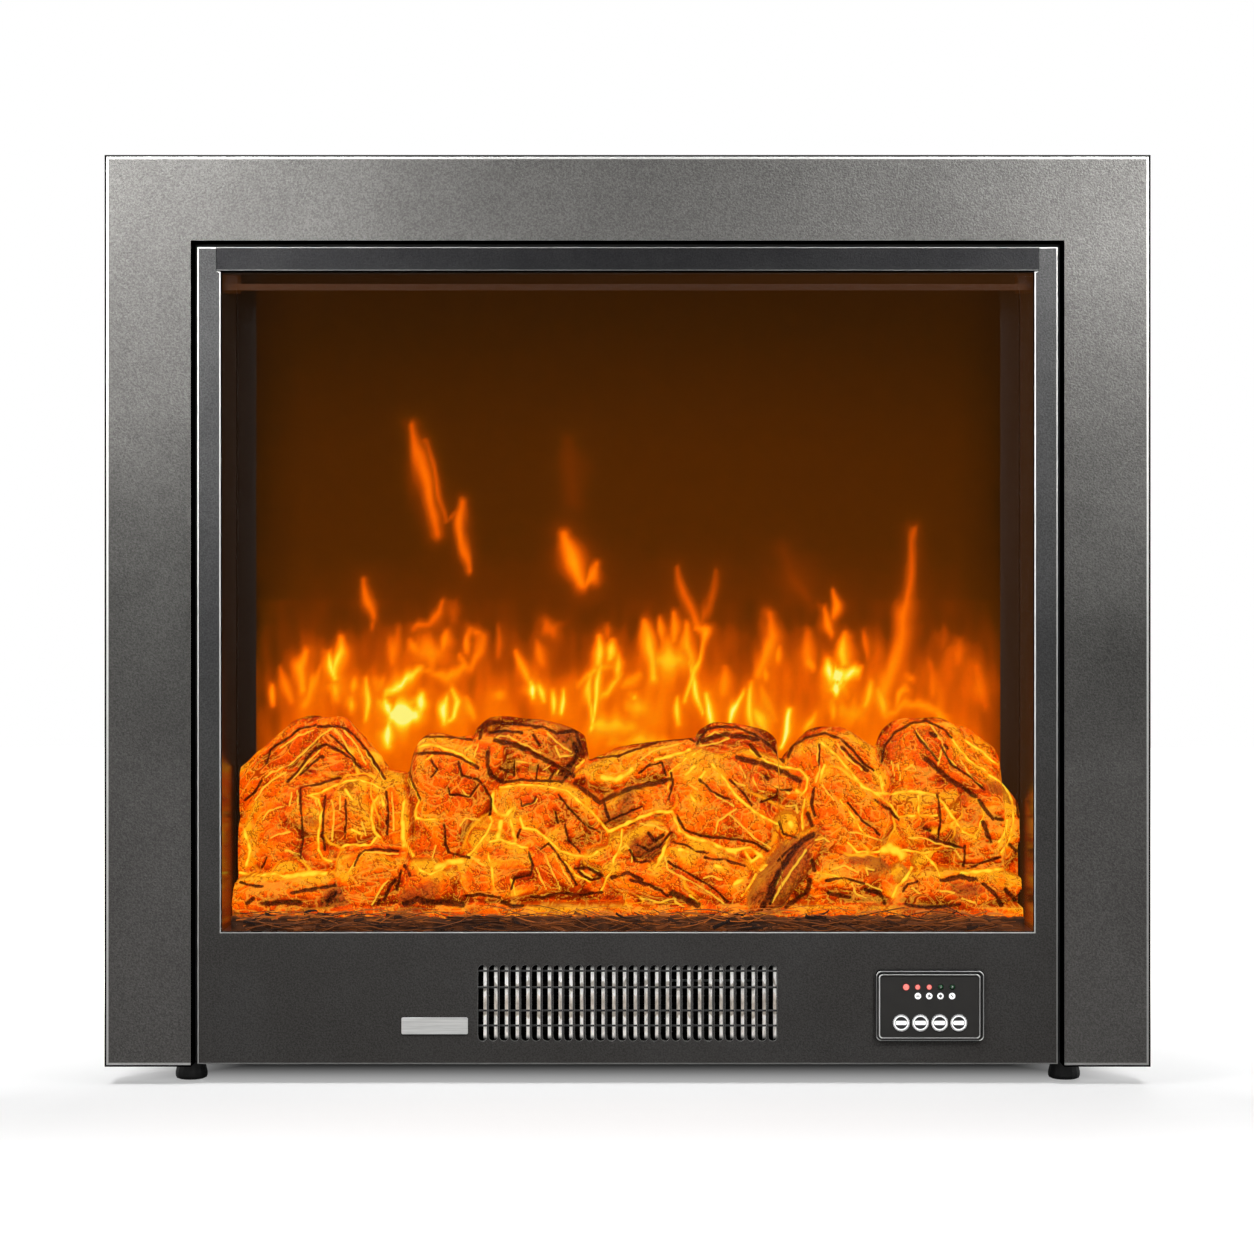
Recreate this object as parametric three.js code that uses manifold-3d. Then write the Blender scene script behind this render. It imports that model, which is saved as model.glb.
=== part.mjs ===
// Electric fireplace insert: a sheet-steel casing with a glass window, a moulded log bed, a flame screen lit
// from behind by a turning spindle, and a fan heater that blows out under the hearth.
// Millimetres, +Z up, front towards -Y, origin on the floor at the middle of the bounding box.
import * as THREE from 'three';
import { mergeVertices } from 'three/addons/utils/BufferGeometryUtils.js';
import Module from 'manifold-3d';

const wasm = await Module();
wasm.setup();

// ---- fits ----
const seat = 0.3; // between two pieces that rest on each other
const slip = 0.35; // around a moving or plugged-in round piece
const overcut = 1; // how far a cutter runs past the face it opens
const roundSides = 16;
const smallSides = 10; // screws and their holes

// ---- surround: the wide folded trim in front of the casing ----
const surroundWidth = 764;
const surroundHeight = 666;
const surroundLeg = 63;
const surroundHead = 62.5;
const surroundDepth = 22;
const surroundSheet = 1.5;
const surroundDrop = 1.5; // its lower edge hangs this far under the casing
const surroundReveal = 4.3; // dark joint between the surround and the front panel

// ---- casing ----
const casingSideSpread = 21.3; // each side wall stands this far outside the front panel
const casingHeight = 610;
const casingDepth = 160;
const casingSheet = 1.2;
const casingRearFlange = 20;
const casingSill = 8; // front flange left under the outlet
const coverSheet = 1.2;
const coverEdge = 3; // the rear cover ends this far inside the casing's outline
const coverScrewInset = 9;
const coverSlotCount = 7;
const coverSlotPitch = 10;
const coverSlotHeight = 4.5;
const coverSlotLength = 170;
const coverSlotRise = 22; // lowest slot above the casing's floor, and highest slot under its roof
const coverSlotShift = 60;

// ---- front panel and top rail ----
const panelRecess = 3; // behind the surround's face
const panelSheet = 1.2;
const columnFace = 17.4;
const railFace = 17.6;
const railEndCover = 3.3; // how far the rail runs over each column
const fasciaHeight = 96.7;
const lipDepth = 5;

// ---- window glass ----
const glassThickness = 3;
const glassLap = 6.7; // hidden behind the lips on each side
const retainerReach = 11;
const retainerSheet = 1.2;

// ---- flame chamber ----
const linerSetback = 0.7;
const linerSheet = 1.2;
const ceilingDrop = 1.5;
const cavityDepth = 75; // glass to flame screen
const screenThickness = 3;
const screenLap = 7.2; // edge of the screen hidden in each post
const postFace = 14.5;
const postSheet = 1.2;
const shelfDrop = 1; // hearth shelf under the window's lower edge
const shelfSheet = 1.2;
const shelfTurnDown = 15;
const canopyHeight = 4.5;
const canopyThickness = 4;
const canopyBelowCeiling = 11.5;
const canopyBracketWidth = 10.5;
const canopyBracketDepth = 18;

// ---- ember strip in front of the logs ----
const emberStripDepth = 8;
const emberStripHeight = 17;
const emberStripEndGap = 6;
const emberStripPoints = 40;
const emberStripRipple = 2.2;

// ---- log bed: one moulded shell, written as the log forms that it shows ----
// middle x, height of the middle above the shelf, length, height, depth, tilt in degrees, middle behind the glass
const logForms = [
  [-255, 62, 74, 84, 52, 0, 39],
  [-260, 118, 91, 35, 34, -43, 52],
  [-208, 118, 74, 34, 34, 50, 52],
  [-222, 105, 65, 56, 40, 0, 49],
  [-209, 80, 44, 58, 36, 0, 30],
  [-174, 80, 28, 60, 34, -8, 32],
  [-187, 36, 56, 46, 38, 0, 28],
  [-252, 24, 82, 26, 34, -2, 27],
  [-153, 29, 44, 40, 36, 0, 29],
  [-133, 98, 64, 86, 46, 12, 40],
  [-74, 129, 82, 48, 44, 6, 54],
  [-58, 82, 98, 52, 44, 22, 37],
  [-91, 42, 62, 44, 40, -4, 28],
  [-52, 45, 48, 40, 36, 40, 30],
  [7, 118, 104, 36, 40, -12, 50],
  [7, 90, 58, 30, 40, -16, 38],
  [10, 62, 48, 30, 36, -36, 28],
  [18, 33, 72, 34, 38, 16, 26],
  [82, 131, 62, 38, 40, 8, 56],
  [67, 86, 88, 70, 46, 30, 36],
  [100, 108, 80, 36, 40, 20, 44],
  [58, 38, 68, 44, 40, 18, 28],
  [157, 109, 78, 62, 46, 40, 44],
  [166, 81, 66, 56, 42, 20, 33],
  [118, 43, 70, 27, 30, -52, 22],
  [163, 35, 62, 40, 38, 4, 28],
  [223, 118, 70, 72, 50, 0, 47],
  [257, 102, 104, 40, 46, 46, 42],
  [262, 67, 52, 68, 46, 10, 34],
  [225, 80, 52, 46, 40, 0, 30],
  [243, 28, 92, 30, 36, 0, 27],
];
const logSides = 7;
const logRoughness = 0.13; // of a log's half height
const bedPlinthHeight = 22;
const bedPlinthDepth = 58;
const bedEndGap = 4;
const bedFrontGap = 9; // glass to the bed's front
const bedRearGap = 1.5; // bed to the flame screen
const bedHollowEndGap = 48; // liner to the hollow under the logs
const bedHollowDepth = 34;
const bedHollowHeight = 20;

// ---- light boards ----
const boardThickness = 1.6;
const emberBoardEndGap = 10; // to the hollow's ends
const emberBoardSideGap = 5;
const emberLampCount = 12;
const flameBoardEndGap = 38; // to the spindle's end plates
const flameBoardWidth = 18;
const flameLampCount = 14;
const lampSize = 5;
const lampHeight = 2.5;

// ---- flame mask, spindle and reflector behind the screen ----
const maskSetback = 14;
const maskEndGap = 18; // to the spindle's end plates
const maskHeight = 220;
const maskSheet = 1;
const maskFoot = 10;
const maskTongueCount = 9;
const maskTonguePitch = 58;
const maskTongueWidth = 26;
const maskTongueRise = 40; // foot of the cut-outs above the shelf
const maskTongueHeight = 130;
const spindleSetback = 50; // behind the flame screen
const spindleHeight = 52; // above the shelf
const spindleShaftRadius = 2.5;
const spindleBladeReach = 18;
const spindleBladeCount = 14;
const spindleBladeWidth = 26;
const spindleBladeSheet = 1.2;
const spindleBladeTurn = 53; // degrees from one blade to the next
const spindlePlateInset = 10; // end plates inside the line of the side liners
const spindlePlateSheet = 1.2;
const spindlePlateWidth = 44;
const spindlePlateHeight = 84;
const spindlePlateFoot = 16;
const spindleBushRadius = 5;
const spindleBushFlange = 8;
const spindleBushFlangeThickness = 2;
const spindleBushInside = 2;
const spindleMotorRadius = 20;
const spindleMotorLength = 18;
const motorBossRadius = 7;
const spindleEndInMotor = 11;
const reflectorSetback = 78; // behind the flame screen
const reflectorEndGap = 18; // to the spindle's end plates
const reflectorHeight = 240;
const reflectorSheet = 1;
const reflectorFoot = 6;

// ---- warm air outlet ----
const slotCount = 28;
const slotPitch = 7.86;
const slotWidth = 6.4;
const slotHeight = 55.6;
const slotBaseAboveFloor = 17; // lower slot end above the panel's lower edge
const guardWire = 1.6;
const guardRows = [11, 22, 39, 51]; // wire heights above the lower slot end
const louvreDepth = 8;
const louvreSlatWidth = 2.3;
const louvreSlatShift = 1.7; // slats stand right of each slot's middle
const louvreRail = 4;
const outletMargin = 5; // louvre and duct run past the slots
const heaterDepth = 12;
const heaterFrame = 4;
const heaterRodRadius = 2.2;
const heaterRodCount = 5;

// ---- blower ----
const ductSheet = 1.2;
const blowerRadius = 40;
const blowerSetback = 58; // duct mouth to the wheel's axis
const blowerIntake = 44;
const wheelRadius = 30;
const wheelEndGap = 3;
const wheelDisc = 1.5;
const wheelBladeCount = 16;
const wheelBladeSheet = 1.4;
const wheelBladeDepth = 8;
const wheelShaftRadius = 3;
const blowerMotorRadius = 25;
const blowerMotorLength = 32;
const blowerShaftInMotor = 16;
const blowerBushRadius = 6;
const blowerBushFlange = 10;
const blowerBushFlangeThickness = 3;
const cutoutRadius = 8;
const cutoutHeight = 7;
const cutoutFromMiddle = -60;

// ---- controls ----
const bezelFromPanelEdge = 94; // the panel's right edge to the bezel's middle
const bezelCentreZ = 43.2; // above the panel's lower edge
const bezelWidth = 79.9;
const bezelHeight = 52.8;
const bezelCorner = 4.5;
const bezelProud = 1.7;
const bezelRim = 3.4;
const bezelRimDepth = 0.6;
const bezelGroove = 0.9;
const bezelBodyWidth = 68;
const bezelBodyHeight = 43;
const bezelFaceThickness = 2.6;
const bezelWall = 1.5;
const bezelBodyDepth = 10;
const buttonCount = 4;
const buttonPitch = 14;
const buttonFirstX = -20.8; // from the bezel's middle
const buttonZ = -12.6;
const buttonRadius = 6.05;
const buttonProud = 0.9;
const buttonTravel = 1;
const buttonFlange = 0.6;
const buttonFlangeThickness = 1;
const buttonStemRadius = 2;
const buttonSwitchSide = 6;
const buttonSwitchHeight = 2.6;
const indicatorCount = 5;
const indicatorPitch = 8.45;
const indicatorFirstX = -17.2;
const indicatorZ = 13.4;
const indicatorRadius = 1.8;

// ---- badge, power board, cord gland ----
const badgeWidth = 48.6;
const badgeHeight = 12.3;
const badgeThickness = 0.8;
const badgeOutletGap = 7.4; // to the first slot
const badgeCentreZ = 28.2; // above the panel's lower edge
const powerBoardSideGap = 34.8; // to the casing's left wall
const powerBoardRearGap = 34.1; // to the casing's rear flange
const powerBoardLength = 130;
const powerBoardWidth = 80;
const powerBoardStand = 6;
const standRadius = 3;
const standInset = 6;
const relayCount = 3;
const relayPitch = 22;
const relayLength = 16;
const relayWidth = 20;
const relayHeight = 13.4;
const terminalLength = 80;
const terminalWidth = 12;
const terminalHeight = 10.4;
const capacitorRadius = 8;
const capacitorHeight = 20.4;
const componentMargin = 11; // from the board's edges
const glandSideGap = 84.8; // to the casing's right wall
const glandZ = 55; // above the casing's lower edge
const glandBodyRadius = 8;
const glandFlangeRadius = 12;
const glandFlangeThickness = 2;
const glandBore = 3.6;
const glandReach = 6.2;
const glandInside = 8;

// ---- feet and screws ----
const footHeight = 14.9;
const footTopRadius = 9.5;
const footPadRadius = 11.9;
const footPadRound = 2.5;
const footStudRadius = 3;
const footStudLength = 7;
const footSideInset = 12;
const footFrontInset = 13;
const footRearInset = 15;
const screwRadius = 2;
const screwHeadRadius = 4;
const screwHeadHeight = 2.2;
const screwLength = 8;
const bracketReach = 24;
const bracketDepth = 50;
const bracketHeight = 300;
const bracketSheet = 1.5;
const bracketBottom = 150; // above the casing's lower edge
const bracketScrewInset = 30;

// ---- places that follow from the sizes ----
const totalDepth = surroundDepth + seat + casingDepth + seat + coverSheet + glandReach;
const frontY = -totalDepth / 2;
const casingFrontY = frontY + surroundDepth + seat;
const casingRearY = casingFrontY + casingDepth;
const coverY = casingRearY + seat;
const coverRearY = coverY + coverSheet;
const panelFrontY = frontY + panelRecess;
const panelBackY = panelFrontY + panelSheet;
const panelRearY = casingFrontY - seat;
const glassFrontY = panelFrontY + lipDepth + seat;
const glassRearY = glassFrontY + glassThickness;
const screenY = glassRearY + cavityDepth;
const screenRearY = screenY + screenThickness;

const casingBottom = footHeight + seat;
const casingTop = casingBottom + casingHeight;
const casingFloor = casingBottom + casingSheet;
const surroundBottom = casingBottom - surroundDrop;
const surroundTop = surroundBottom + surroundHeight;
const panelHalf = surroundWidth / 2 - surroundLeg - surroundReveal;
const panelTop = surroundTop - surroundHead - surroundReveal;
const casingHalf = panelHalf + casingSideSpread;
const casingInner = casingHalf - casingSheet;
const windowHalf = panelHalf - columnFace;
const windowBottom = casingBottom + fasciaHeight;
const windowTop = panelTop - railFace;
const railHalf = windowHalf + railEndCover;
const linerHalf = windowHalf + linerSetback;
const linerOuter = linerHalf + linerSheet;
const flangeHalf = linerOuter + seat;
const ceilingZ = windowTop - ceilingDrop;
const shelfTop = windowBottom - shelfDrop;
const hearthZ = shelfTop + seat;
const shelfBack = casingRearY - casingSheet - seat;
const outletZ = casingBottom + slotBaseAboveFloor;
const outletHalf = (slotPitch * (slotCount - 1) + slotWidth) / 2;
const ductHalf = outletHalf + outletMargin;
const guardY = panelBackY + seat;
const louvreY = guardY + guardWire + seat;
const heaterY = louvreY + louvreDepth + seat;
const ductY = heaterY + heaterDepth + seat;
const blowerY = ductY + blowerSetback;
const blowerZ = casingFloor + seat + blowerRadius;
const wheelHalf = ductHalf - ductSheet - wheelEndGap;
const spindleY = screenRearY + spindleSetback;
const spindleZ = shelfTop + spindleHeight;
const spindlePlateX = linerHalf - spindlePlateInset;
const glandX = casingInner - glandSideGap;
const bezelCentreX = panelHalf - bezelFromPanelEdge;
const bezelZ = casingBottom + bezelCentreZ;
const badgeCentreX = -outletHalf - badgeOutletGap - badgeWidth / 2;
const controlBoardY = panelFrontY + bezelBodyDepth + seat;

// ---- solids from three.js geometry ----
function solid(geometry) {
  const bare = geometry.index ? geometry.toNonIndexed() : geometry.clone();
  bare.deleteAttribute('normal');
  bare.deleteAttribute('uv');
  const merged = mergeVertices(bare, 1e-4);
  return new wasm.Manifold(new wasm.Mesh({
    numProp: 3,
    vertProperties: merged.attributes.position.array,
    triVerts: new Uint32Array(merged.index.array),
  }));
}

function geometryOf(body) {
  const mesh = body.getMesh();
  const geometry = new THREE.BufferGeometry();
  const points = new Float32Array(mesh.vertProperties);
  geometry.setAttribute('position', new THREE.BufferAttribute(points, 3));
  geometry.setIndex(new THREE.BufferAttribute(new Uint32Array(mesh.triVerts), 1));
  const flat = geometry.toNonIndexed();
  flat.computeVertexNormals();
  return flat;
}

function block(x, y, z) {
  const geometry = new THREE.BoxGeometry(x[1] - x[0], y[1] - y[0], z[1] - z[0]);
  return solid(geometry.translate((x[0] + x[1]) / 2, (y[0] + y[1]) / 2, (z[0] + z[1]) / 2));
}

// A closed lathe about +Z; each profile point is [radius, height], from the axis up to the axis.
function turned(profile, sides = roundSides) {
  const lathe = new THREE.LatheGeometry(profile.map(([r, h]) => new THREE.Vector2(r, h)), sides);
  return solid(lathe.rotateX(Math.PI / 2));
}

function rod(radius, from, to, sides = roundSides) {
  return turned([[0, from], [radius, from], [radius, to], [0, to]], sides);
}

const alongX = (body) => body.rotate([0, 90, 0]); // +Z becomes +X
const alongY = (body) => body.rotate([-90, 0, 0]); // +Z becomes +Y
const joined = (bodies) => bodies.reduce((whole, next) => whole.add(next));
const cutBy = (body, cutters) => (cutters.length ? body.subtract(joined(cutters)) : body);

// A rounded rectangle in XZ about a middle, extruded from y[0] to y[1].
function roundedPlate(width, height, corner, y, middleX = 0, middleZ = 0, arcSteps = 4) {
  const w = width / 2;
  const h = height / 2;
  const c = Math.min(corner, w, h);
  const shape = new THREE.Shape();
  shape.moveTo(-w + c, -h);
  shape.lineTo(w - c, -h);
  shape.absarc(w - c, -h + c, c, -Math.PI / 2, 0, false);
  shape.absarc(w - c, h - c, c, 0, Math.PI / 2, false);
  shape.absarc(-w + c, h - c, c, Math.PI / 2, Math.PI, false);
  shape.absarc(-w + c, -h + c, c, Math.PI, Math.PI * 1.5, false);
  const options = { depth: y[1] - y[0], bevelEnabled: false, curveSegments: arcSteps };
  const geometry = new THREE.ExtrudeGeometry(shape, options);
  geometry.rotateX(Math.PI / 2);
  return solid(geometry.translate(middleX, y[1], middleZ));
}

// A box folded from sheet, open to the rear: its front face and its four returns.
function pan(x, y, z, sheet) {
  const inside = block([x[0] + sheet, x[1] - sheet], [y[0] + sheet, y[1] + overcut], [z[0] + sheet, z[1] - sheet]);
  return block(x, y, z).subtract(inside);
}

const bothSides = (half) => [-half, half];

// ---- materials ----
const finish = (color, roughness, metalness, more = {}) =>
  new THREE.MeshStandardMaterial({ color, roughness, metalness, ...more });
const pewter = () => finish(0x77777a, 0.42, 0.75);
const blackSteel = () => finish(0x3b3b3d, 0.5, 0.6);
const zinc = () => finish(0xb4b6b8, 0.4, 0.9);
const foil = () => finish(0xd8dadc, 0.15, 1);
const darkSteel = () => finish(0x1d1b1a, 0.3, 0.4);
const blackPlastic = () => finish(0x121212, 0.45, 0);
const board = () => finish(0x1f5a34, 0.6, 0);

// ---- the assembly ----
const insert = new THREE.Group();
insert.name = 'fireplace_insert';

function add(name, body, material, position = [0, 0, 0]) {
  const mesh = new THREE.Mesh(geometryOf(body), material);
  mesh.name = name;
  mesh.position.set(...position);
  insert.add(mesh);
}

function surroundTrim() {
  const half = surroundWidth / 2;
  const openHalf = half - surroundLeg;
  const openTop = surroundTop - surroundHead;
  const y = [frontY, frontY + surroundDepth];
  const below = surroundBottom - overcut;
  const outline = block(bothSides(half), y, [surroundBottom, surroundTop])
    .subtract(block(bothSides(openHalf), [y[0] - overcut, y[1] + overcut], [below, openTop]));
  const hollowY = [y[0] + surroundSheet, y[1] + overcut];
  const hollowZ = [surroundBottom + surroundSheet, surroundTop - surroundSheet];
  const hollow = block(bothSides(half - surroundSheet), hollowY, hollowZ)
    .subtract(block(bothSides(openHalf + surroundSheet), [y[0], y[1] + 2 * overcut],
      [below, openTop + surroundSheet]));
  add('surround_trim', outline.subtract(hollow), pewter());
}

// An angle in each leg: one flange behind the surround's face, the other along the casing's side.
function surroundBrackets() {
  const z0 = casingBottom + bracketBottom;
  const z = [z0, z0 + bracketHeight];
  const x0 = casingHalf + seat;
  const faceY = frontY + surroundSheet + seat;
  const screwY = faceY + bracketDepth - bracketSheet * 4;
  for (const [side, sign] of [['left', -1], ['right', 1]]) {
    const span = (from, to) => (sign > 0 ? [from, to] : [-to, -from]);
    const flange = block(span(x0, x0 + bracketReach), [faceY, faceY + bracketSheet], z);
    const web = block(span(x0, x0 + bracketSheet), [faceY, faceY + bracketDepth], z);
    const holes = screwHeights().map((height) => sideHole(sign, screwY, height));
    add(`surround_bracket_${side}`, cutBy(flange.add(web), holes), zinc());
    for (const [level, height] of [['low', screwHeights()[0]], ['high', screwHeights()[1]]]) {
      const head = x0 + bracketSheet + seat;
      const screw = screwSolid().rotate([0, -90 * sign, 0]);
      add(`bracket_screw_${side}_${level}`, screw, zinc(), [sign * head, screwY, height]);
    }
  }
}

function screwHeights() {
  const z0 = casingBottom + bracketBottom;
  return [z0 + bracketScrewInset, z0 + bracketHeight - bracketScrewInset];
}

function sideHole(sign, y, z) {
  const reach = bracketReach + casingSheet * 4;
  return alongX(rod(screwRadius + slip, -reach, reach, smallSides)).translate([sign * casingHalf, y, z]);
}

// A pan-head screw: the head stands on +Z seen from its seat, the shank runs down -Z through the sheets.
function screwSolid() {
  return turned([
    [0, -screwLength], [screwRadius, -screwLength], [screwRadius, 0], [screwHeadRadius, 0],
    [screwHeadRadius * 0.9, screwHeadHeight * 0.6], [screwHeadRadius * 0.5, screwHeadHeight], [0, screwHeadHeight],
  ], smallSides).rotate([180, 0, 0]);
}

function coverScrewPlaces() {
  const x = casingHalf - coverScrewInset;
  const z = [casingBottom + coverScrewInset, casingTop - coverScrewInset];
  return [['left_low', -x, z[0]], ['right_low', x, z[0]], ['left_high', -x, z[1]], ['right_high', x, z[1]]];
}

const rearHole = (radius, x, z, sides) =>
  alongY(rod(radius, casingRearY - overcut - casingSheet, coverRearY + overcut, sides)).translate([x, 0, z]);

function footPlaces() {
  const x = casingHalf - footSideInset;
  const y = [casingFrontY + footFrontInset, casingRearY - footRearInset];
  return [['front_left', -x, y[0]], ['front_right', x, y[0]], ['rear_left', -x, y[1]], ['rear_right', x, y[1]]];
}

function casing() {
  const y = [casingFrontY, casingRearY];
  const inY = [y[0] + casingSheet, y[1] - casingSheet];
  const inZ = [casingFloor, casingTop - casingSheet];
  const rearInset = casingSheet + casingRearFlange;
  const cutters = [
    block(bothSides(casingInner), inY, inZ),
    block(bothSides(flangeHalf), [y[0] - overcut, inY[0] + overcut],
      [casingBottom + casingSill, ceilingZ + linerSheet + seat]),
    block(bothSides(casingHalf - rearInset), [inY[1] - overcut, y[1] + overcut],
      [casingBottom + rearInset, casingTop - rearInset]),
    ...coverScrewPlaces().map(([, x, z]) => rearHole(screwRadius + slip, x, z, smallSides)),
    ...footPlaces().map(([, x, fy]) =>
      rod(footStudRadius + slip, casingBottom - overcut, casingFloor + overcut, smallSides).translate([x, fy, 0])),
  ];
  const screwY = frontY + surroundSheet + seat + bracketDepth - bracketSheet * 4;
  for (const sign of [-1, 1])
    for (const height of screwHeights()) cutters.push(sideHole(sign, screwY, height));
  add('casing_shell', cutBy(block(bothSides(casingHalf), y, [casingBottom, casingTop]), cutters), blackSteel());
}

function rearCover() {
  const half = casingHalf - coverEdge;
  const slots = [];
  for (let row = 0; row < coverSlotCount; row++)
    for (const z of [casingFloor + coverSlotRise + row * coverSlotPitch,
      casingTop - casingRearFlange - coverSlotRise - row * coverSlotPitch])
      slots.push(block([-coverSlotShift - coverSlotLength / 2, -coverSlotShift + coverSlotLength / 2],
        [coverY - overcut, coverRearY + overcut], [z, z + coverSlotHeight]));
  const holes = coverScrewPlaces().map(([, x, z]) => rearHole(screwRadius + slip, x, z, smallSides));
  const glandHole = rearHole(glandBodyRadius + slip, glandX, casingBottom + glandZ);
  const plate = block(bothSides(half), [coverY, coverRearY], [casingBottom + coverEdge, casingTop - coverEdge]);
  add('rear_cover', cutBy(plate, [...slots, ...holes, glandHole]), zinc());
  for (const [place, x, z] of coverScrewPlaces())
    add(`cover_screw_${place}`, alongY(screwSolid().rotate([180, 0, 0])), zinc(), [x, coverRearY + seat, z]);
}

function cordGland() {
  const bore = glandBore;
  const profile = [
    [bore, -glandInside], [glandBodyRadius, -glandInside], [glandBodyRadius, 0], [glandFlangeRadius, 0],
    [glandFlangeRadius, glandFlangeThickness], [glandBodyRadius, glandFlangeThickness],
    [glandBodyRadius * 0.75, glandReach - seat], [bore, glandReach - seat], [bore, -glandInside],
  ];
  add('cord_gland', alongY(turned(profile)), blackPlastic(), [glandX, coverRearY + seat, casingBottom + glandZ]);
}

function feet() {
  const profile = [
    [0, 0], [footPadRadius - footPadRound, 0], [footPadRadius - footPadRound * 0.3, footPadRound * 0.3],
    [footPadRadius, footPadRound], [footPadRadius, footPadRound * 2], [footTopRadius, footHeight],
    [footStudRadius, footHeight], [footStudRadius, footHeight + footStudLength], [0, footHeight + footStudLength],
  ];
  for (const [place, x, y] of footPlaces()) add(`foot_${place}`, turned(profile), blackPlastic(), [x, y, 0]);
}

function slotCutters(y) {
  const cutters = [];
  for (let i = 0; i < slotCount; i++)
    cutters.push(roundedPlate(slotWidth, slotHeight, slotWidth / 2, y, slotX(i), outletZ + slotHeight / 2, 2));
  return cutters;
}

const slotX = (i) => (i - (slotCount - 1) / 2) * slotPitch;

// Two columns and the lower fascia in one folded piece; the rail closes it at the top.
function frontPanel() {
  const y = [panelFrontY, panelRearY];
  const through = [y[0] - overcut, y[1] + overcut];
  const window = block(bothSides(windowHalf), through, [windowBottom, panelTop + overcut]);
  const outline = block(bothSides(panelHalf), y, [casingBottom, panelTop]).subtract(window);
  const room = block(bothSides(panelHalf - panelSheet), [panelBackY, y[1] + overcut],
    [casingBottom + panelSheet, panelTop - panelSheet]);
  const lips = block(bothSides(windowHalf + panelSheet), [y[0], panelFrontY + lipDepth],
    [windowBottom - panelSheet, panelTop]);
  const railGap = block(bothSides(railHalf + seat), through, [windowTop - seat, panelTop + overcut]);
  const bezelHole = block([bezelCentreX - bezelBodyWidth / 2 - seat, bezelCentreX + bezelBodyWidth / 2 + seat],
    [y[0] - overcut, panelBackY + overcut], [bezelZ - bezelBodyHeight / 2 - seat, bezelZ + bezelBodyHeight / 2 + seat]);
  const slots = slotCutters([y[0] - overcut, panelBackY + overcut]);
  const body = outline.subtract(room.subtract(lips));
  add('front_panel', cutBy(body, [railGap, bezelHole, ...slots]), blackSteel());
}

function topRail() {
  const z = [windowTop, panelTop];
  const body = pan(bothSides(railHalf), [panelFrontY, panelRearY], z, panelSheet);
  const behindLip = block(bothSides(railHalf + overcut), [panelFrontY + lipDepth, panelRearY + overcut],
    [z[0] - overcut, z[1] - panelSheet]);
  add('top_rail', body.subtract(behindLip), blackSteel());
}

function badge() {
  const plate = roundedPlate(badgeWidth, badgeHeight, panelSheet, [-badgeThickness, 0]);
  add('badge_plate', plate, finish(0xa9a9a7, 0.4, 0.7), [badgeCentreX, panelFrontY - seat, casingBottom + badgeCentreZ]);
}

function windowGlass() {
  const glass = block(bothSides(windowHalf + glassLap), [0, glassThickness],
    [windowBottom - glassLap, windowTop + glassLap]);
  add('window_glass', glass, finish(0x202020, 0.05, 0, { transparent: true, opacity: 0.2 }), [0, glassFrontY, 0]);
  const y0 = glassRearY + seat;
  const x0 = flangeHalf;
  const z = [shelfTop + seat, windowTop - seat];
  for (const [side, sign] of [['left', -1], ['right', 1]]) {
    const span = (from, to) => (sign > 0 ? [from, to] : [-to, -from]);
    const behindGlass = block(span(x0, x0 + retainerReach), [y0, y0 + retainerSheet], z);
    const web = block(span(x0 + retainerReach - retainerSheet, x0 + retainerReach), [y0, panelRearY], z);
    add(`glass_retainer_${side}`, behindGlass.add(web), zinc());
  }
}

function hearthShelf() {
  const z = [shelfTop - shelfSheet, shelfTop];
  const half = casingInner - seat;
  const deck = block(bothSides(half), [casingFrontY + casingSheet + seat, shelfBack], z);
  const tongue = block(bothSides(linerOuter), [glassRearY + seat, casingFrontY + casingSheet + seat + overcut], z);
  const ends = [-1, 1].map((sign) => block(
    sign > 0 ? [half - shelfSheet, half] : [-half, shelfSheet - half],
    [casingFrontY + casingSheet + seat, shelfBack], [shelfTop - shelfTurnDown, shelfTop]));
  add('hearth_shelf', joined([deck, tongue, ...ends]), zinc());
}

function chamberLiners() {
  const y = [glassRearY + seat, screenY - postSheet];
  const z = [hearthZ, ceilingZ - seat];
  add('side_liner_left', block([-linerOuter, -linerHalf], y, z), darkSteel());
  add('side_liner_right', block([linerHalf, linerOuter], y, z), darkSteel());
  const ceiling = block(bothSides(linerOuter), [y[0], screenRearY + postSheet + seat], [ceilingZ, ceilingZ + linerSheet]);
  add('ceiling_liner', ceiling, darkSteel());
}

function canopy() {
  const z0 = ceilingZ - canopyBelowCeiling;
  const y0 = glassRearY + 2 * seat;
  const half = linerHalf - seat;
  const strip = block(bothSides(half), [y0, y0 + canopyThickness], [z0, z0 + canopyHeight]);
  add('canopy_strip', strip, finish(0x6b3a22, 0.2, 0, { transparent: true, opacity: 0.6 }));
  const bracketY = y0 + canopyThickness + seat;
  for (const [side, sign] of [['left', -1], ['right', 1]]) {
    const x = sign > 0 ? [half - canopyBracketWidth, half] : [-half, canopyBracketWidth - half];
    const bracket = block(x, [bracketY, bracketY + canopyBracketDepth], [z0, ceilingZ - seat]);
    add(`canopy_bracket_${side}`, bracket, blackSteel());
  }
}

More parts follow.
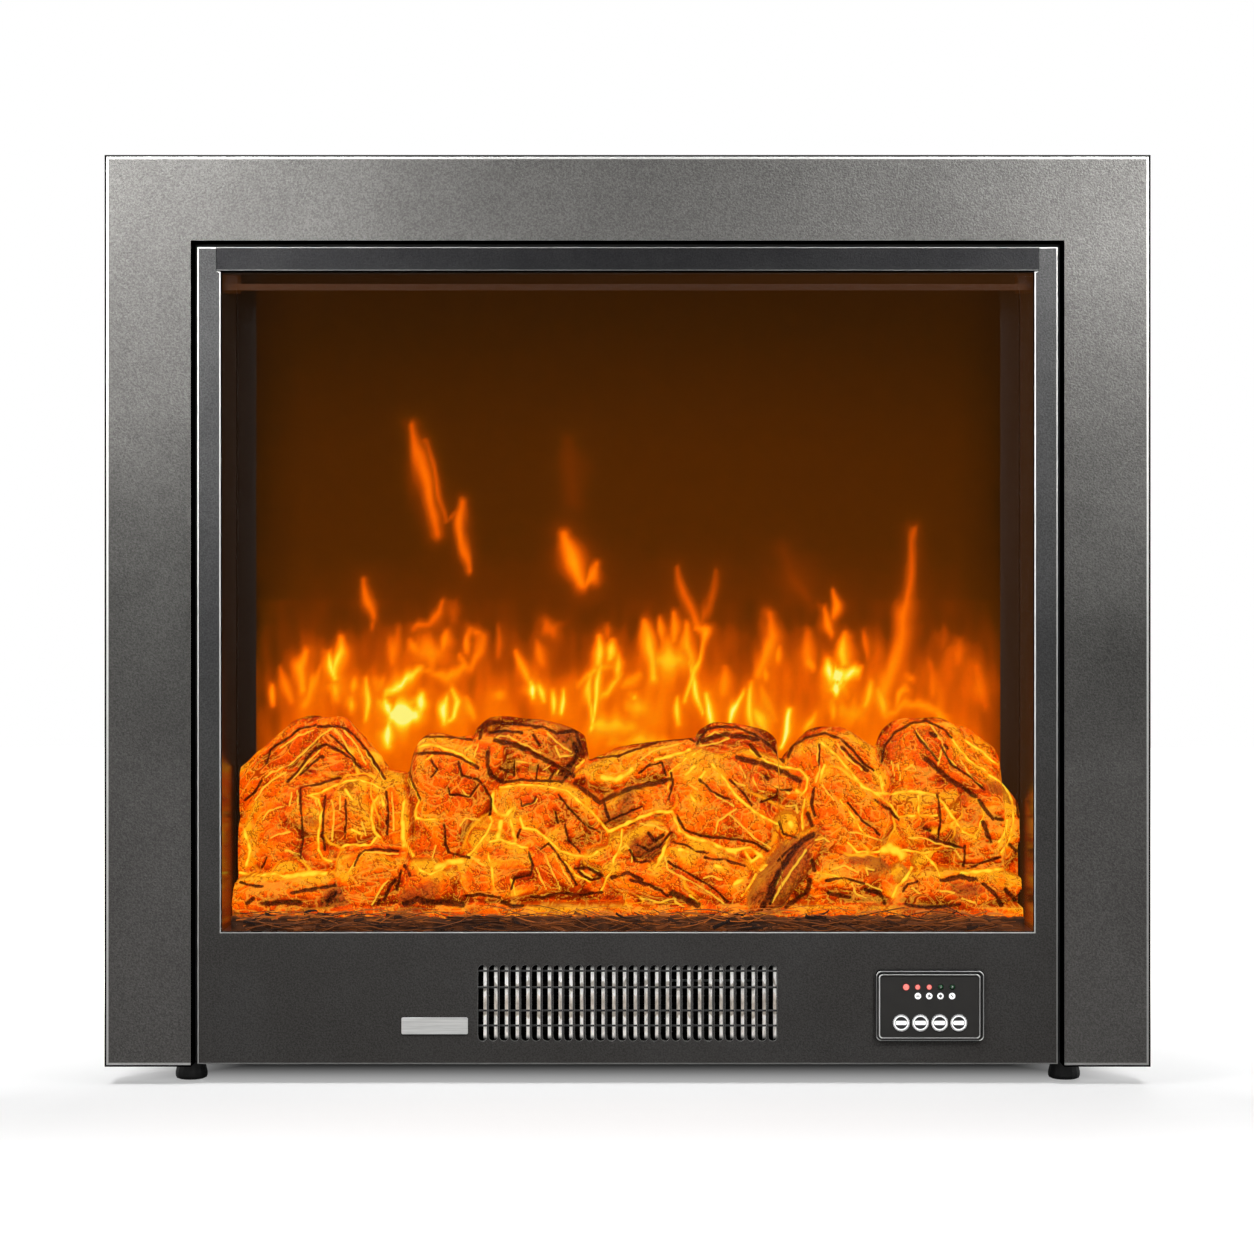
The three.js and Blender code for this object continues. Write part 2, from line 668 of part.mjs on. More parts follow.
function flameScreen() {
  const half = linerHalf - seat - postFace + screenLap;
  const screen = block(bothSides(half), [screenY, screenRearY], [hearthZ, ceilingZ - seat]);
  add('flame_screen', screen, finish(0x5a2b08, 0.6, 0, { emissive: 0xd06a05, emissiveIntensity: 0.4 }));
  const outer = linerHalf - seat;
  const y = [screenY - seat - postSheet, screenRearY + seat + postSheet];
  for (const [side, sign] of [['left', -1], ['right', 1]]) {
    const span = (from, to) => (sign > 0 ? [from, to] : [-to, -from]);
    const post = block(span(outer - postFace, outer), y, [hearthZ, ceilingZ - seat]);
    const groove = block(span(outer - postFace - overcut, half + seat), [y[0] + postSheet, y[1] - postSheet],
      [hearthZ - overcut, ceilingZ + overcut]);
    add(`screen_post_${side}`, post.subtract(groove), darkSteel());
  }
}

// A repeatable spread of values between -1 and 1.
function scatter(seed) {
  const value = Math.sin(seed * 127.1 + 311.7) * 43758.5453;
  return (value - Math.floor(value)) * 2 - 1;
}

// One log form: a barrel with rough sides and domed ends, lying along X about its middle.
function logForm(seed, [, , length, height, depth]) {
  const rings = [[0, -0.5], [0.75, -0.46], [1, -0.22], [1, 0.22], [0.75, 0.46], [0, 0.5]];
  const geometry = new THREE.LatheGeometry(rings.map(([r, h]) => new THREE.Vector2(r, h)), logSides);
  geometry.rotateZ(-Math.PI / 2);
  const at = geometry.attributes.position;
  for (let i = 0; i < at.count; i++) {
    const [x, y, z] = [at.getX(i), at.getY(i), at.getZ(i)];
    const side = (Math.round((Math.atan2(z, y) / (2 * Math.PI)) * logSides) + logSides) % logSides;
    const onAxis = Math.hypot(y, z) < 1e-3;
    const rough = onAxis ? 1 : 1 + logRoughness * scatter(seed * 31 + side * 7 + Math.round(x * 10));
    at.setXYZ(i, x * length, y * rough * (depth / 2), z * rough * (height / 2));
  }
  return solid(geometry);
}

function logBed() {
  const half = linerHalf - bedEndGap;
  const y = [glassRearY + bedFrontGap, screenY - bedRearGap];
  const room = block(bothSides(half), y, [hearthZ, ceilingZ]);
  const middleY = (y[0] + y[1]) / 2;
  const plinth = block(bothSides(half - bedEndGap), [middleY - bedPlinthDepth / 2, middleY + bedPlinthDepth / 2],
    [hearthZ, hearthZ + bedPlinthHeight]);
  const logs = logForms.map((form, i) => {
    const [x, rise, , , , tilt, behindGlass] = form;
    return logForm(i + 1, form).rotate([0, tilt, 0]).translate([x, glassRearY + behindGlass, shelfTop + rise]);
  });
  const hollowHalf = linerHalf - bedHollowEndGap;
  const hollow = block(bothSides(hollowHalf), [middleY - bedHollowDepth / 2, middleY + bedHollowDepth / 2],
    [hearthZ - overcut, hearthZ + bedHollowHeight]);
  const bed = joined([plinth, ...logs]).intersect(room).subtract(hollow);
  add('log_bed', largest(bed), finish(0xe0631a, 0.75, 0, { emissive: 0xff6a10, emissiveIntensity: 0.4 }));
  const length = 2 * (hollowHalf - emberBoardEndGap);
  const lamps = { length, width: bedHollowDepth - 2 * emberBoardSideGap, count: emberLampCount };
  add('ember_light_board', lightBoard(lamps), board(), [0, middleY, hearthZ]);
}

const largest = (body) => body.decompose().reduce((best, part) => (part.volume() > best.volume() ? part : best));

function emberStrip() {
  const half = linerHalf - emberStripEndGap;
  const outline = new THREE.Shape();
  outline.moveTo(-half, 0);
  outline.lineTo(half, 0);
  for (let i = 0; i <= emberStripPoints; i++) {
    const x = half - (2 * half * i) / emberStripPoints;
    outline.lineTo(x, emberStripHeight + emberStripRipple * scatter(i + 0.5));
  }
  const options = { depth: emberStripDepth, bevelEnabled: false };
  const geometry = new THREE.ExtrudeGeometry(outline, options).rotateX(Math.PI / 2).translate(0, emberStripDepth, 0);
  add('ember_strip', solid(geometry), finish(0x4a2410, 0.9, 0), [0, glassRearY + 2 * seat, hearthZ]);
}

function lightBoard({ length, width, count }) {
  const plate = block(bothSides(length / 2), bothSides(width / 2), [0, boardThickness]);
  const pitch = length / count;
  const lamps = Array.from({ length: count }, (_, i) => {
    const x = (i - (count - 1) / 2) * pitch;
    return block([x - lampSize / 2, x + lampSize / 2], bothSides(lampSize / 2), [boardThickness / 2, boardThickness + lampHeight]);
  });
  return joined([plate, ...lamps]);
}

function flameMask() {
  const y = screenRearY + maskSetback;
  const x = bothSides(spindlePlateX - maskEndGap);
  const sheet = block(x, [y, y + maskSheet], [hearthZ, hearthZ + maskHeight]);
  const foot = block(x, [y, y + maskFoot], [hearthZ, hearthZ + maskSheet]);
  const tongues = Array.from({ length: maskTongueCount }, (_, i) =>
    maskTongue(y).translate([(i - (maskTongueCount - 1) / 2) * maskTonguePitch, 0, 0]));
  add('flame_mask', cutBy(sheet.add(foot), tongues), zinc());
}

function maskTongue(y) {
  const w = maskTongueWidth / 2;
  const shape = new THREE.Shape();
  shape.moveTo(-w * 0.5, 0);
  shape.quadraticCurveTo(w * 1.6, maskTongueHeight * 0.2, w * 0.4, maskTongueHeight * 0.6);
  shape.quadraticCurveTo(w * 0.1, maskTongueHeight * 0.8, w * 0.5, maskTongueHeight);
  shape.quadraticCurveTo(-w * 0.5, maskTongueHeight * 0.7, -w * 0.6, maskTongueHeight * 0.45);
  shape.quadraticCurveTo(-w * 1.4, maskTongueHeight * 0.2, -w * 0.5, 0);
  const options = { depth: maskSheet + 2 * overcut, bevelEnabled: false, curveSegments: 5 };
  const geometry = new THREE.ExtrudeGeometry(shape, options).rotateX(Math.PI / 2);
  return solid(geometry.translate(0, y + maskSheet + overcut, hearthZ + maskTongueRise));
}

function flameSpindle() {
  const plateX = spindlePlateX;
  const bushEnd = -plateX - spindlePlateSheet - seat - spindleBushFlangeThickness - spindleBladeSheet;
  const motorX = plateX + spindlePlateSheet + seat;
  const pitch = (2 * plateX - 2 * spindlePlateWidth) / spindleBladeCount;
  const blades = Array.from({ length: spindleBladeCount }, (_, i) =>
    block(bothSides(spindleBladeReach), bothSides(spindleBladeSheet / 2), bothSides(spindleBladeWidth / 2))
      .rotate([0, 0, i * spindleBladeTurn]).translate([0, 0, (i - (spindleBladeCount - 1) / 2) * pitch]));
  const shaft = rod(spindleShaftRadius, bushEnd, motorX + spindleEndInMotor);
  const at = [0, spindleY, spindleZ];
  add('flame_spindle', alongX(joined([shaft, ...blades])), foil(), at);

  const bore = spindleShaftRadius + slip;
  const out = spindlePlateSheet + seat;
  const bush = turned([
    [bore, -out - spindleBushFlangeThickness], [spindleBushFlange, -out - spindleBushFlangeThickness],
    [spindleBushFlange, -out], [spindleBushRadius, -out], [spindleBushRadius, spindleBushInside],
    [bore, spindleBushInside], [bore, -out - spindleBushFlangeThickness],
  ]);
  add('spindle_bush', alongX(bush), finish(0xd8d4c8, 0.5, 0), [-plateX, spindleY, spindleZ]);

  const motor = turned([
    [0, spindleEndInMotor + overcut], [bore, spindleEndInMotor + overcut], [bore, -out], [motorBossRadius, -out],
    [motorBossRadius, 0], [spindleMotorRadius, 0], [spindleMotorRadius, spindleMotorLength], [0, spindleMotorLength],
  ]);
  add('spindle_motor', alongX(motor), zinc(), [motorX, spindleY, spindleZ]);
  spindlePlate('left', -1, spindleBushRadius);
  spindlePlate('right', 1, motorBossRadius);
}

function spindlePlate(side, sign, holeRadius) {
  const x0 = spindlePlateX;
  const span = (from, to) => (sign > 0 ? [from, to] : [-to, -from]);
  const y = [spindleY - spindlePlateWidth / 2, spindleY + spindlePlateWidth / 2];
  const web = block(span(x0, x0 + spindlePlateSheet), y, [hearthZ, hearthZ + spindlePlateHeight]);
  const foot = block(span(x0, x0 + spindlePlateFoot), y, [hearthZ, hearthZ + spindlePlateSheet]);
  const hole = alongX(rod(holeRadius + slip, -overcut * 2, overcut * 3 + spindlePlateSheet));
  const placed = hole.translate([sign > 0 ? x0 : -x0 - spindlePlateSheet, spindleY, spindleZ]);
  add(`spindle_plate_${side}`, web.add(foot).subtract(placed), zinc());
}

function flameLights() {
  const length = 2 * (spindlePlateX - flameBoardEndGap);
  const lamps = { length, width: flameBoardWidth, count: flameLampCount };
  const boardY = screenRearY + maskSetback + maskFoot + seat + flameBoardWidth / 2;
  add('flame_light_board', lightBoard(lamps), board(), [0, boardY, hearthZ]);
  const y = screenRearY + reflectorSetback;
  const x = bothSides(spindlePlateX - reflectorEndGap);
  const sheet = block(x, [y, y + reflectorSheet], [hearthZ, hearthZ + reflectorHeight]);
  const foot = block(x, [y, y + reflectorFoot], [hearthZ, hearthZ + reflectorSheet]);
  add('flame_reflector', sheet.add(foot), foil());
}

function outlet() {
  const z = [outletZ - outletMargin, outletZ + slotHeight + outletMargin];
  const half = outletHalf + outletMargin;
  const wires = guardRows.map((rise) =>
    alongX(rod(guardWire / 2, -half, half, 6)).translate([0, guardWire / 2, outletZ + rise]));
  const uprights = [-1, 1].map((sign) =>
    rod(guardWire / 2, z[0], z[1], 6).translate([sign * (half - guardWire), guardWire / 2, 0]));
  add('finger_guard', joined([...wires, ...uprights]), blackSteel(), [0, guardY, 0]);

  const rails = [[z[0], z[0] + louvreRail], [z[1] - louvreRail, z[1]]].map((span) =>
    block(bothSides(half), [0, louvreDepth], span));
  const slats = [];
  for (let i = 0; i < slotCount; i++) {
    const x = slotX(i) + louvreSlatShift;
    slats.push(block([x - louvreSlatWidth / 2, x + louvreSlatWidth / 2], [0, louvreDepth], z));
  }
  add('outlet_louvre', joined([...rails, ...slats]), finish(0xcfd0d0, 0.35, 0.9), [0, louvreY, 0]);

  const frame = block(bothSides(half), [0, heaterDepth], z).subtract(
    block(bothSides(half - heaterFrame), [-overcut, heaterDepth + overcut], [z[0] + heaterFrame, z[1] - heaterFrame]));
  const rodPitch = (z[1] - z[0]) / (heaterRodCount + 1);
  const rods = Array.from({ length: heaterRodCount }, (_, i) =>
    alongX(rod(heaterRodRadius, -half + overcut, half - overcut, 8))
      .translate([0, heaterDepth / 2, z[0] + (i + 1) * rodPitch]));
  add('heater_element', joined([frame, ...rods]), finish(0x8d8377, 0.6, 0.3), [0, heaterY, 0]);
}

// A drum about the wheel with a square throat towards the outlet and an intake at the rear.
function blowerHousing() {
  const throatZ = [outletZ - outletMargin, outletZ + slotHeight + outletMargin];
  const shell = (grow) => {
    const half = ductHalf + grow - ductSheet;
    const drum = alongX(rod(blowerRadius + grow - ductSheet, -half, half, 32)).translate([0, blowerY, blowerZ]);
    const throat = block(bothSides(half), [grow ? ductY : ductY - overcut, blowerY],
      [throatZ[0] + ductSheet - grow, throatZ[1] - ductSheet + grow]);
    return drum.add(throat);
  };
  const intake = block(bothSides(ductHalf - 2 * ductSheet), [blowerY + blowerRadius / 2, blowerY + blowerRadius + overcut],
    [blowerZ - blowerIntake / 2, blowerZ + blowerIntake / 2]);
  const endHole = (x, radius) => alongX(rod(radius, -ductSheet * 2, ductSheet * 2)).translate([x, blowerY, blowerZ]);
  const cutters = [shell(0), intake, endHole(-ductHalf, blowerBushRadius + slip), endHole(ductHalf, motorBossRadius + slip)];
  add('blower_housing', cutBy(shell(ductSheet), cutters), zinc());
}

function blowerWheel() {
  const bushOuter = ductHalf + seat + blowerBushFlangeThickness;
  const shaft = rod(wheelShaftRadius, -bushOuter, ductHalf + seat + blowerShaftInMotor);
  const discs = [-wheelHalf, 0, wheelHalf - wheelDisc].map((x) => rod(wheelRadius, x, x + wheelDisc));
  const bladeRadius = wheelRadius - wheelBladeDepth / 2 - wheelBladeSheet;
  const blades = Array.from({ length: wheelBladeCount }, (_, i) =>
    block(bothSides(wheelBladeDepth / 2), bothSides(wheelBladeSheet / 2), bothSides(wheelHalf - wheelDisc / 2))
      .translate([bladeRadius, 0, 0]).rotate([0, 0, (i * 360) / wheelBladeCount]));
  add('blower_wheel', alongX(joined([shaft, ...discs, ...blades])), finish(0x9a9c9e, 0.45, 0.8), [0, blowerY, blowerZ]);

  const bore = wheelShaftRadius + slip;
  const bush = turned([
    [bore, -blowerBushFlangeThickness], [blowerBushFlange, -blowerBushFlangeThickness], [blowerBushFlange, 0],
    [blowerBushRadius, 0], [blowerBushRadius, ductSheet + seat], [bore, ductSheet + seat],
    [bore, -blowerBushFlangeThickness],
  ]);
  add('blower_bush', alongX(bush), finish(0xd8d4c8, 0.5, 0), [-ductHalf - seat, blowerY, blowerZ]);

  const reach = blowerShaftInMotor + overcut;
  const motor = turned([
    [0, reach], [bore, reach], [bore, -ductSheet - seat], [motorBossRadius, -ductSheet - seat], [motorBossRadius, 0],
    [blowerMotorRadius, 0], [blowerMotorRadius, blowerMotorLength], [0, blowerMotorLength],
  ]);
  add('blower_motor', alongX(motor), zinc(), [ductHalf + seat, blowerY, blowerZ]);
  const roof = outletZ + slotHeight + outletMargin;
  const place = [cutoutFromMiddle, ductY + blowerSetback / 3, roof + seat];
  add('thermal_cutout', rod(cutoutRadius, 0, cutoutHeight), finish(0x2b2b2b, 0.6, 0), place);
}

const buttonX = (i) => bezelCentreX + buttonFirstX + i * buttonPitch;
const indicatorX = (i) => bezelCentreX + indicatorFirstX + i * indicatorPitch;
const bezelFaceY = panelFrontY - seat - bezelProud;
const facePlateY = bezelFaceY + bezelRimDepth;

function controlBezel() {
  const flange = roundedPlate(bezelWidth, bezelHeight, bezelCorner, [bezelFaceY, panelFrontY - seat], bezelCentreX, bezelZ);
  const bodyX = [bezelCentreX - bezelBodyWidth / 2, bezelCentreX + bezelBodyWidth / 2];
  const bodyZ = [bezelZ - bezelBodyHeight / 2, bezelZ + bezelBodyHeight / 2];
  const body = block(bodyX, [panelFrontY - 2 * seat, panelFrontY + bezelBodyDepth], bodyZ);
  const inside = block([bodyX[0] + bezelWall, bodyX[1] - bezelWall],
    [facePlateY + bezelFaceThickness, panelFrontY + bezelBodyDepth + overcut],
    [bodyZ[0] + bezelWall, bodyZ[1] - bezelWall]);
  const recess = roundedPlate(bezelWidth - 2 * bezelRim, bezelHeight - 2 * bezelRim, bezelCorner - bezelRim / 2,
    [bezelFaceY - overcut, facePlateY], bezelCentreX, bezelZ);
  const grooveMiddle = bezelRim / 2;
  const ring = (inset) => roundedPlate(bezelWidth - 2 * inset, bezelHeight - 2 * inset, bezelCorner - inset / 2,
    [bezelFaceY - overcut, facePlateY], bezelCentreX, bezelZ);
  const groove = ring(grooveMiddle - bezelGroove / 2).subtract(ring(grooveMiddle + bezelGroove / 2));
  const faceY = [bezelFaceY - overcut, facePlateY + bezelFaceThickness + overcut];
  const through = (radius, x, z) => alongY(rod(radius, faceY[0], faceY[1])).translate([x, 0, z]);
  const holes = [];
  for (let i = 0; i < buttonCount; i++) holes.push(through(buttonRadius + slip, buttonX(i), bezelZ + buttonZ));
  for (let i = 0; i < indicatorCount; i++) holes.push(through(indicatorRadius + slip, indicatorX(i), bezelZ + indicatorZ));
  add('control_bezel', cutBy(flange.add(body), [inside, recess, groove, ...holes]), finish(0x0c0c0d, 0.35, 0));
}

function buttons() {
  const back = bezelFaceThickness + seat;
  const bodyBack = panelFrontY + bezelBodyDepth + seat - buttonSwitchHeight;
  const stemEnd = bodyBack - buttonTravel - seat - facePlateY;
  const profile = [
    [0, -buttonProud], [buttonRadius - 0.4, -buttonProud], [buttonRadius, 0.4 - buttonProud], [buttonRadius, back],
    [buttonRadius + buttonFlange, back], [buttonRadius + buttonFlange, back + buttonFlangeThickness],
    [buttonStemRadius, back + buttonFlangeThickness], [buttonStemRadius, stemEnd], [0, stemEnd],
  ];
  for (let i = 0; i < buttonCount; i++)
    add(`push_button_${i + 1}`, alongY(turned(profile)), finish(0xe8e8e8, 0.4, 0), [buttonX(i), facePlateY, bezelZ + buttonZ]);
}

// The board closes the bezel's back; its switches and indicator lamps stand forward of it.
function controlBoard() {
  const half = [bezelBodyWidth / 2, bezelBodyHeight / 2];
  const plate = block([bezelCentreX - half[0], bezelCentreX + half[0]], [controlBoardY, controlBoardY + boardThickness],
    [bezelZ - half[1], bezelZ + half[1]]);
  const parts = [plate];
  for (let i = 0; i < buttonCount; i++) {
    const side = buttonSwitchSide / 2;
    parts.push(block([buttonX(i) - side, buttonX(i) + side], [controlBoardY - buttonSwitchHeight, controlBoardY + boardThickness / 2],
      [bezelZ + buttonZ - side, bezelZ + buttonZ + side]));
  }
  for (let i = 0; i < indicatorCount; i++)
    parts.push(alongY(turned([
      [0, facePlateY - 0.2], [indicatorRadius * 0.6, facePlateY], [indicatorRadius, facePlateY + 0.6],
      [indicatorRadius, controlBoardY + boardThickness / 2], [0, controlBoardY + boardThickness / 2],
    ], 16)).translate([indicatorX(i), 0, bezelZ + indicatorZ]));
  add('control_board', joined(parts), board());
}

function powerBoard() {
  const half = [powerBoardLength / 2, powerBoardWidth / 2];
  const z = [powerBoardStand, powerBoardStand + boardThickness];
  const plate = block(bothSides(half[0]), bothSides(half[1]), z);
  const stands = [[-1, -1], [1, -1], [-1, 1], [1, 1]].map(([sx, sy]) =>
    rod(standRadius, 0, z[1], smallSides).translate([sx * (half[0] - standInset), sy * (half[1] - standInset), 0]));
  const edge = [componentMargin - half[0], componentMargin - half[1]];
  const relays = Array.from({ length: relayCount }, (_, i) => {
    const x = edge[0] + i * relayPitch;
    return block([x, x + relayLength], [edge[1], edge[1] + relayWidth], [z[0], z[1] + relayHeight]);
  });
  const terminal = block([edge[0], edge[0] + terminalLength], [-edge[1] - terminalWidth, -edge[1]], [z[0], z[1] + terminalHeight]);
  const capacitor = rod(capacitorRadius, z[0], z[1] + capacitorHeight)
    .translate([-edge[0] - capacitorRadius, edge[1] + capacitorRadius, 0]);
  const x = powerBoardSideGap - casingInner + half[0];
  const y = casingRearY - casingSheet - powerBoardRearGap - half[1];
  add('power_board', joined([plate, ...stands, ...relays, terminal, capacitor]), board(), [x, y, casingFloor + seat]);
}

surroundTrim();
surroundBrackets();
casing();
rearCover();
cordGland();
feet();
frontPanel();
topRail();
badge();
windowGlass();
hearthShelf();
chamberLiners();
canopy();
flameScreen();
logBed();
emberStrip();
flameMask();
flameSpindle();
flameLights();
outlet();
blowerHousing();
blowerWheel();
controlBezel();
buttons();
controlBoard();
powerBoard();

export default insert;
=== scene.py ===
import math
import random

import bmesh
import bpy
import numpy as np
from mathutils import Matrix, Vector, noise
from mathutils.bvhtree import BVHTree


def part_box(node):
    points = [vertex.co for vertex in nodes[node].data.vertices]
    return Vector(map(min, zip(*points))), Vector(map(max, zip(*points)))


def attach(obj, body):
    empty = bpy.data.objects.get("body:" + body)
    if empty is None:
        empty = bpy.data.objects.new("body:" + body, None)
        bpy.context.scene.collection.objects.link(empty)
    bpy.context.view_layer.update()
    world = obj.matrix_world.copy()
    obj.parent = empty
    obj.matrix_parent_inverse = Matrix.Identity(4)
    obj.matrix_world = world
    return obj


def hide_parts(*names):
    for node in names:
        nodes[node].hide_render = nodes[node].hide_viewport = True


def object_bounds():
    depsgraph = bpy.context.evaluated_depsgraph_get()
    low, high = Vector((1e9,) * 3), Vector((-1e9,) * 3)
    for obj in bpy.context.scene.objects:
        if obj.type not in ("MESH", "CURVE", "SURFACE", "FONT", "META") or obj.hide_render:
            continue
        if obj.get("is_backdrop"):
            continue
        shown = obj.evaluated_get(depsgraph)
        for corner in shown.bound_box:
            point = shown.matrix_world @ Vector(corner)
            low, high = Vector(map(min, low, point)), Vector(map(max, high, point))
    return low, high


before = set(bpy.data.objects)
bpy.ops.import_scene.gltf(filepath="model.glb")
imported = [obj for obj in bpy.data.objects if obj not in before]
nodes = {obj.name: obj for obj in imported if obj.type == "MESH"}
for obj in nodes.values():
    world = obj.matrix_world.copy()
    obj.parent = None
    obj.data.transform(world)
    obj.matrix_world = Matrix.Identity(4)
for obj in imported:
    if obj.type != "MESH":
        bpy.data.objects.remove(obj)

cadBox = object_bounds()
mm = 0.001
scene = bpy.context.scene
random.seed(11)


# materials: sockets as Python values
def shade(code, alpha=1.0):  # a colour as it looks on screen, to the values that the nodes take
    parts = [int(code[i:i + 2], 16) / 255 for i in (0, 2, 4)]
    return tuple(c / 12.92 if c < 0.04045 else ((c + 0.055) / 1.055) ** 2.4 for c in parts) + (alpha,)


class Signal:
    def __init__(self, finish, socket):
        self.finish = finish
        self.socket = socket

    def maths(self, operation, first, second=0.0):
        return self.finish.maths(operation, first, second)

    def __add__(self, other):
        return self.maths("ADD", self, other)

    def __radd__(self, other):
        return self.maths("ADD", other, self)

    def __sub__(self, other):
        return self.maths("SUBTRACT", self, other)

    def __rsub__(self, other):
        return self.maths("SUBTRACT", other, self)

    def __mul__(self, other):
        return self.maths("MULTIPLY", self, other)

    def __rmul__(self, other):
        return self.maths("MULTIPLY", other, self)

    def between(self, low, high):  # 0 at low, 1 at high, eased
        return self.finish.add("ShaderNodeMapRange", {"interpolation_type": "SMOOTHSTEP"},
                               {"Value": self, "From Min": low, "From Max": high})


class Finish:
    def __init__(self, name, **surface):
        self.material = bpy.data.materials.new(name)
        self.material.use_nodes = True
        self.tree = self.material.node_tree
        self.shader = self.tree.nodes["Principled BSDF"]
        self.put(**{key.replace("_", " "): value for key, value in surface.items()})

    def put(self, **sockets):  # values or links for the shader's own sockets
        for name, value in sockets.items():
            self.feed(self.shader.inputs[name.replace("_", " ")], value)
        return self

    def feed(self, socket, value):
        if isinstance(value, Signal):
            self.tree.links.new(value.socket, socket)
        else:
            socket.default_value = value

    def add(self, kind, settings=None, inputs=None, output=0):
        node = self.tree.nodes.new(kind)
        for key, value in (settings or {}).items():
            if key == "stops":
                steps = node.color_ramp.elements
                steps.remove(steps[1])
                steps[0].position, steps[0].color = value[0][0], shade(value[0][1])
                for place, code in value[1:]:
                    steps.new(place).color = shade(code)
            else:
                setattr(node, key, value)
        for key, value in (inputs or {}).items():
            self.feed(node.inputs[key], value)
        return Signal(self, node.outputs[output])

    def maths(self, operation, first, second=0.0):
        return self.add("ShaderNodeMath", {"operation": operation}, {0: first, 1: second})

    def mix(self, factor, first, second, blend="MIX"):
        settings = {"data_type": "RGBA", "blend_type": blend}
        return self.add("ShaderNodeMix", settings, {0: factor, 6: first, 7: second}, 2)

    def place(self, stretch=(1, 1, 1), move=(0, 0, 0)):
        here = self.add("ShaderNodeTexCoord", output="Object")
        return self.add("ShaderNodeMapping", {}, {"Vector": here, "Scale": stretch, "Location": move})

    def grain(self, scale, detail=2.0, rough=0.5, stretch=(1, 1, 1), move=(0, 0, 0)):
        where = self.place(stretch, move)
        inputs = {"Vector": where, "Scale": scale, "Detail": detail, "Roughness": rough}
        return self.add("ShaderNodeTexNoise", {}, inputs)

    def cells(self, scale, warp=0.0):
        where = self.place()
        if warp:
            inputs = {"Vector": where, "Scale": scale * 0.5, "Detail": 3.0}
            wobble = self.add("ShaderNodeTexNoise", {}, inputs, "Color")
            shift = self.add("ShaderNodeVectorMath", {"operation": "SCALE"}, {0: wobble, "Scale": warp})
            where = self.add("ShaderNodeVectorMath", {"operation": "ADD"}, {0: where, 1: shift})
        return self.add("ShaderNodeTexVoronoi", {}, {"Vector": where, "Scale": scale}, "Distance")

    def axis(self, letter, space="Object"):
        here = self.add("ShaderNodeTexCoord", output=space)
        return self.add("ShaderNodeSeparateXYZ", {}, {0: here}, letter)

    def squarely(self):  # 1 where the skin faces straight to the front or the back
        return self.maths("ABSOLUTE", self.axis("Y", "Normal"))

    def ramp(self, where, *stops):
        return self.add("ShaderNodeValToRGB", {"stops": stops}, {0: where})

    def stored(self, name):
        return self.add("ShaderNodeAttribute", {"attribute_name": name}, {}, "Fac")

    def bump(self, height, strength, depth=0.001):
        inputs = {"Height": height, "Strength": strength, "Distance": depth}
        return self.put(Normal=self.add("ShaderNodeBump", {}, inputs))


# camera
view = {"place": (12 * mm, -2095 * mm, 343.7 * mm), "lens": 78.65, "shift": (-0.01356, -0.00957)}
camera = bpy.data.objects.new("camera", bpy.data.cameras.new("camera"))
scene.collection.objects.link(camera)
camera.location = view["place"]
camera.rotation_euler = (math.pi / 2, 0, 0)
camera.data.lens = view["lens"]
camera.data.sensor_width = 36
camera.data.shift_x, camera.data.shift_y = view["shift"]
camera.data.clip_end = 60
scene.camera = camera
scene.view_settings.view_transform = "Standard"

# studio
studio = {
    "room": 0.2,  # light of the room on the object
    "floor": 5.0,  # half the floor's width, m
    "body": (382 * mm, -95 * mm, 88 * mm),  # the object's half width, its front and its back on the floor
    "underBody": (-104 * mm, -2 * mm),  # painted shadow: the floor whitens over these distances from that outline and stays darker near the body
    "around": (0 * mm, 420 * mm),
    "lamps": [
        # name, place, size, watts, spread, target
        ("keyLeft", (-0.56, -0.52, 0.88), (0.34, 0.34), 5.2, 90, (-0.4, -0.09, 0.64)),
        ("keyRight", (0.58, -0.54, 0.88), (0.3, 0.3), 4.4, 90, (0.41, -0.09, 0.64)),
        ("frontFill", (0.0, -3.0, 0.6), (2.4, 1.2), 8, 180, (0.0, -0.1, 0.35)),
        ("topStrip", (0.0, 0.0, 2.2), (2.6, 1.6), 24, 180, (0.0, 0.0, 0.4)),
        ("rearFill", (0.6, 2.4, 1.6), (1.6, 1.2), 30, 180, (0.0, 0.1, 0.35)),
    ],
}


def lamp(name, place, size, watts, spread, target):
    light = bpy.data.lights.new(name, "AREA")
    light.shape = "RECTANGLE"
    light.size, light.size_y = size
    light.energy = watts
    light.spread = math.radians(spread)
    holder = bpy.data.objects.new(name, light)
    scene.collection.objects.link(holder)
    holder.location = place
    holder.rotation_euler = (Vector(target) - Vector(place)).to_track_quat("-Z", "Y").to_euler()
    holder.visible_camera = False
    holder.visible_transmission = False


for entry in studio["lamps"]:
    lamp(*entry)

world = bpy.data.worlds.new("studio")
scene.world = world
world.use_nodes = True
sky = world.node_tree
background = sky.nodes["Background"]
path = sky.nodes.new("ShaderNodeLightPath")
seen = sky.nodes.new("ShaderNodeMath")
seen.operation = "MAXIMUM"
sky.links.new(path.outputs["Is Camera Ray"], seen.inputs[0])
either = sky.nodes.new("ShaderNodeMath")
either.operation = "MAXIMUM"
sky.links.new(path.outputs["Is Glossy Ray"], either.inputs[0])
sky.links.new(path.outputs["Is Transmission Ray"], either.inputs[1])
sky.links.new(either.outputs[0], seen.inputs[1])
level = sky.nodes.new("ShaderNodeMapRange")
level.inputs["To Min"].default_value = studio["room"]
level.inputs["To Max"].default_value = 1.0
sky.links.new(seen.outputs[0], level.inputs["Value"])
sky.links.new(level.outputs[0], background.inputs["Strength"])
background.inputs["Color"].default_value = (1, 1, 1, 1)

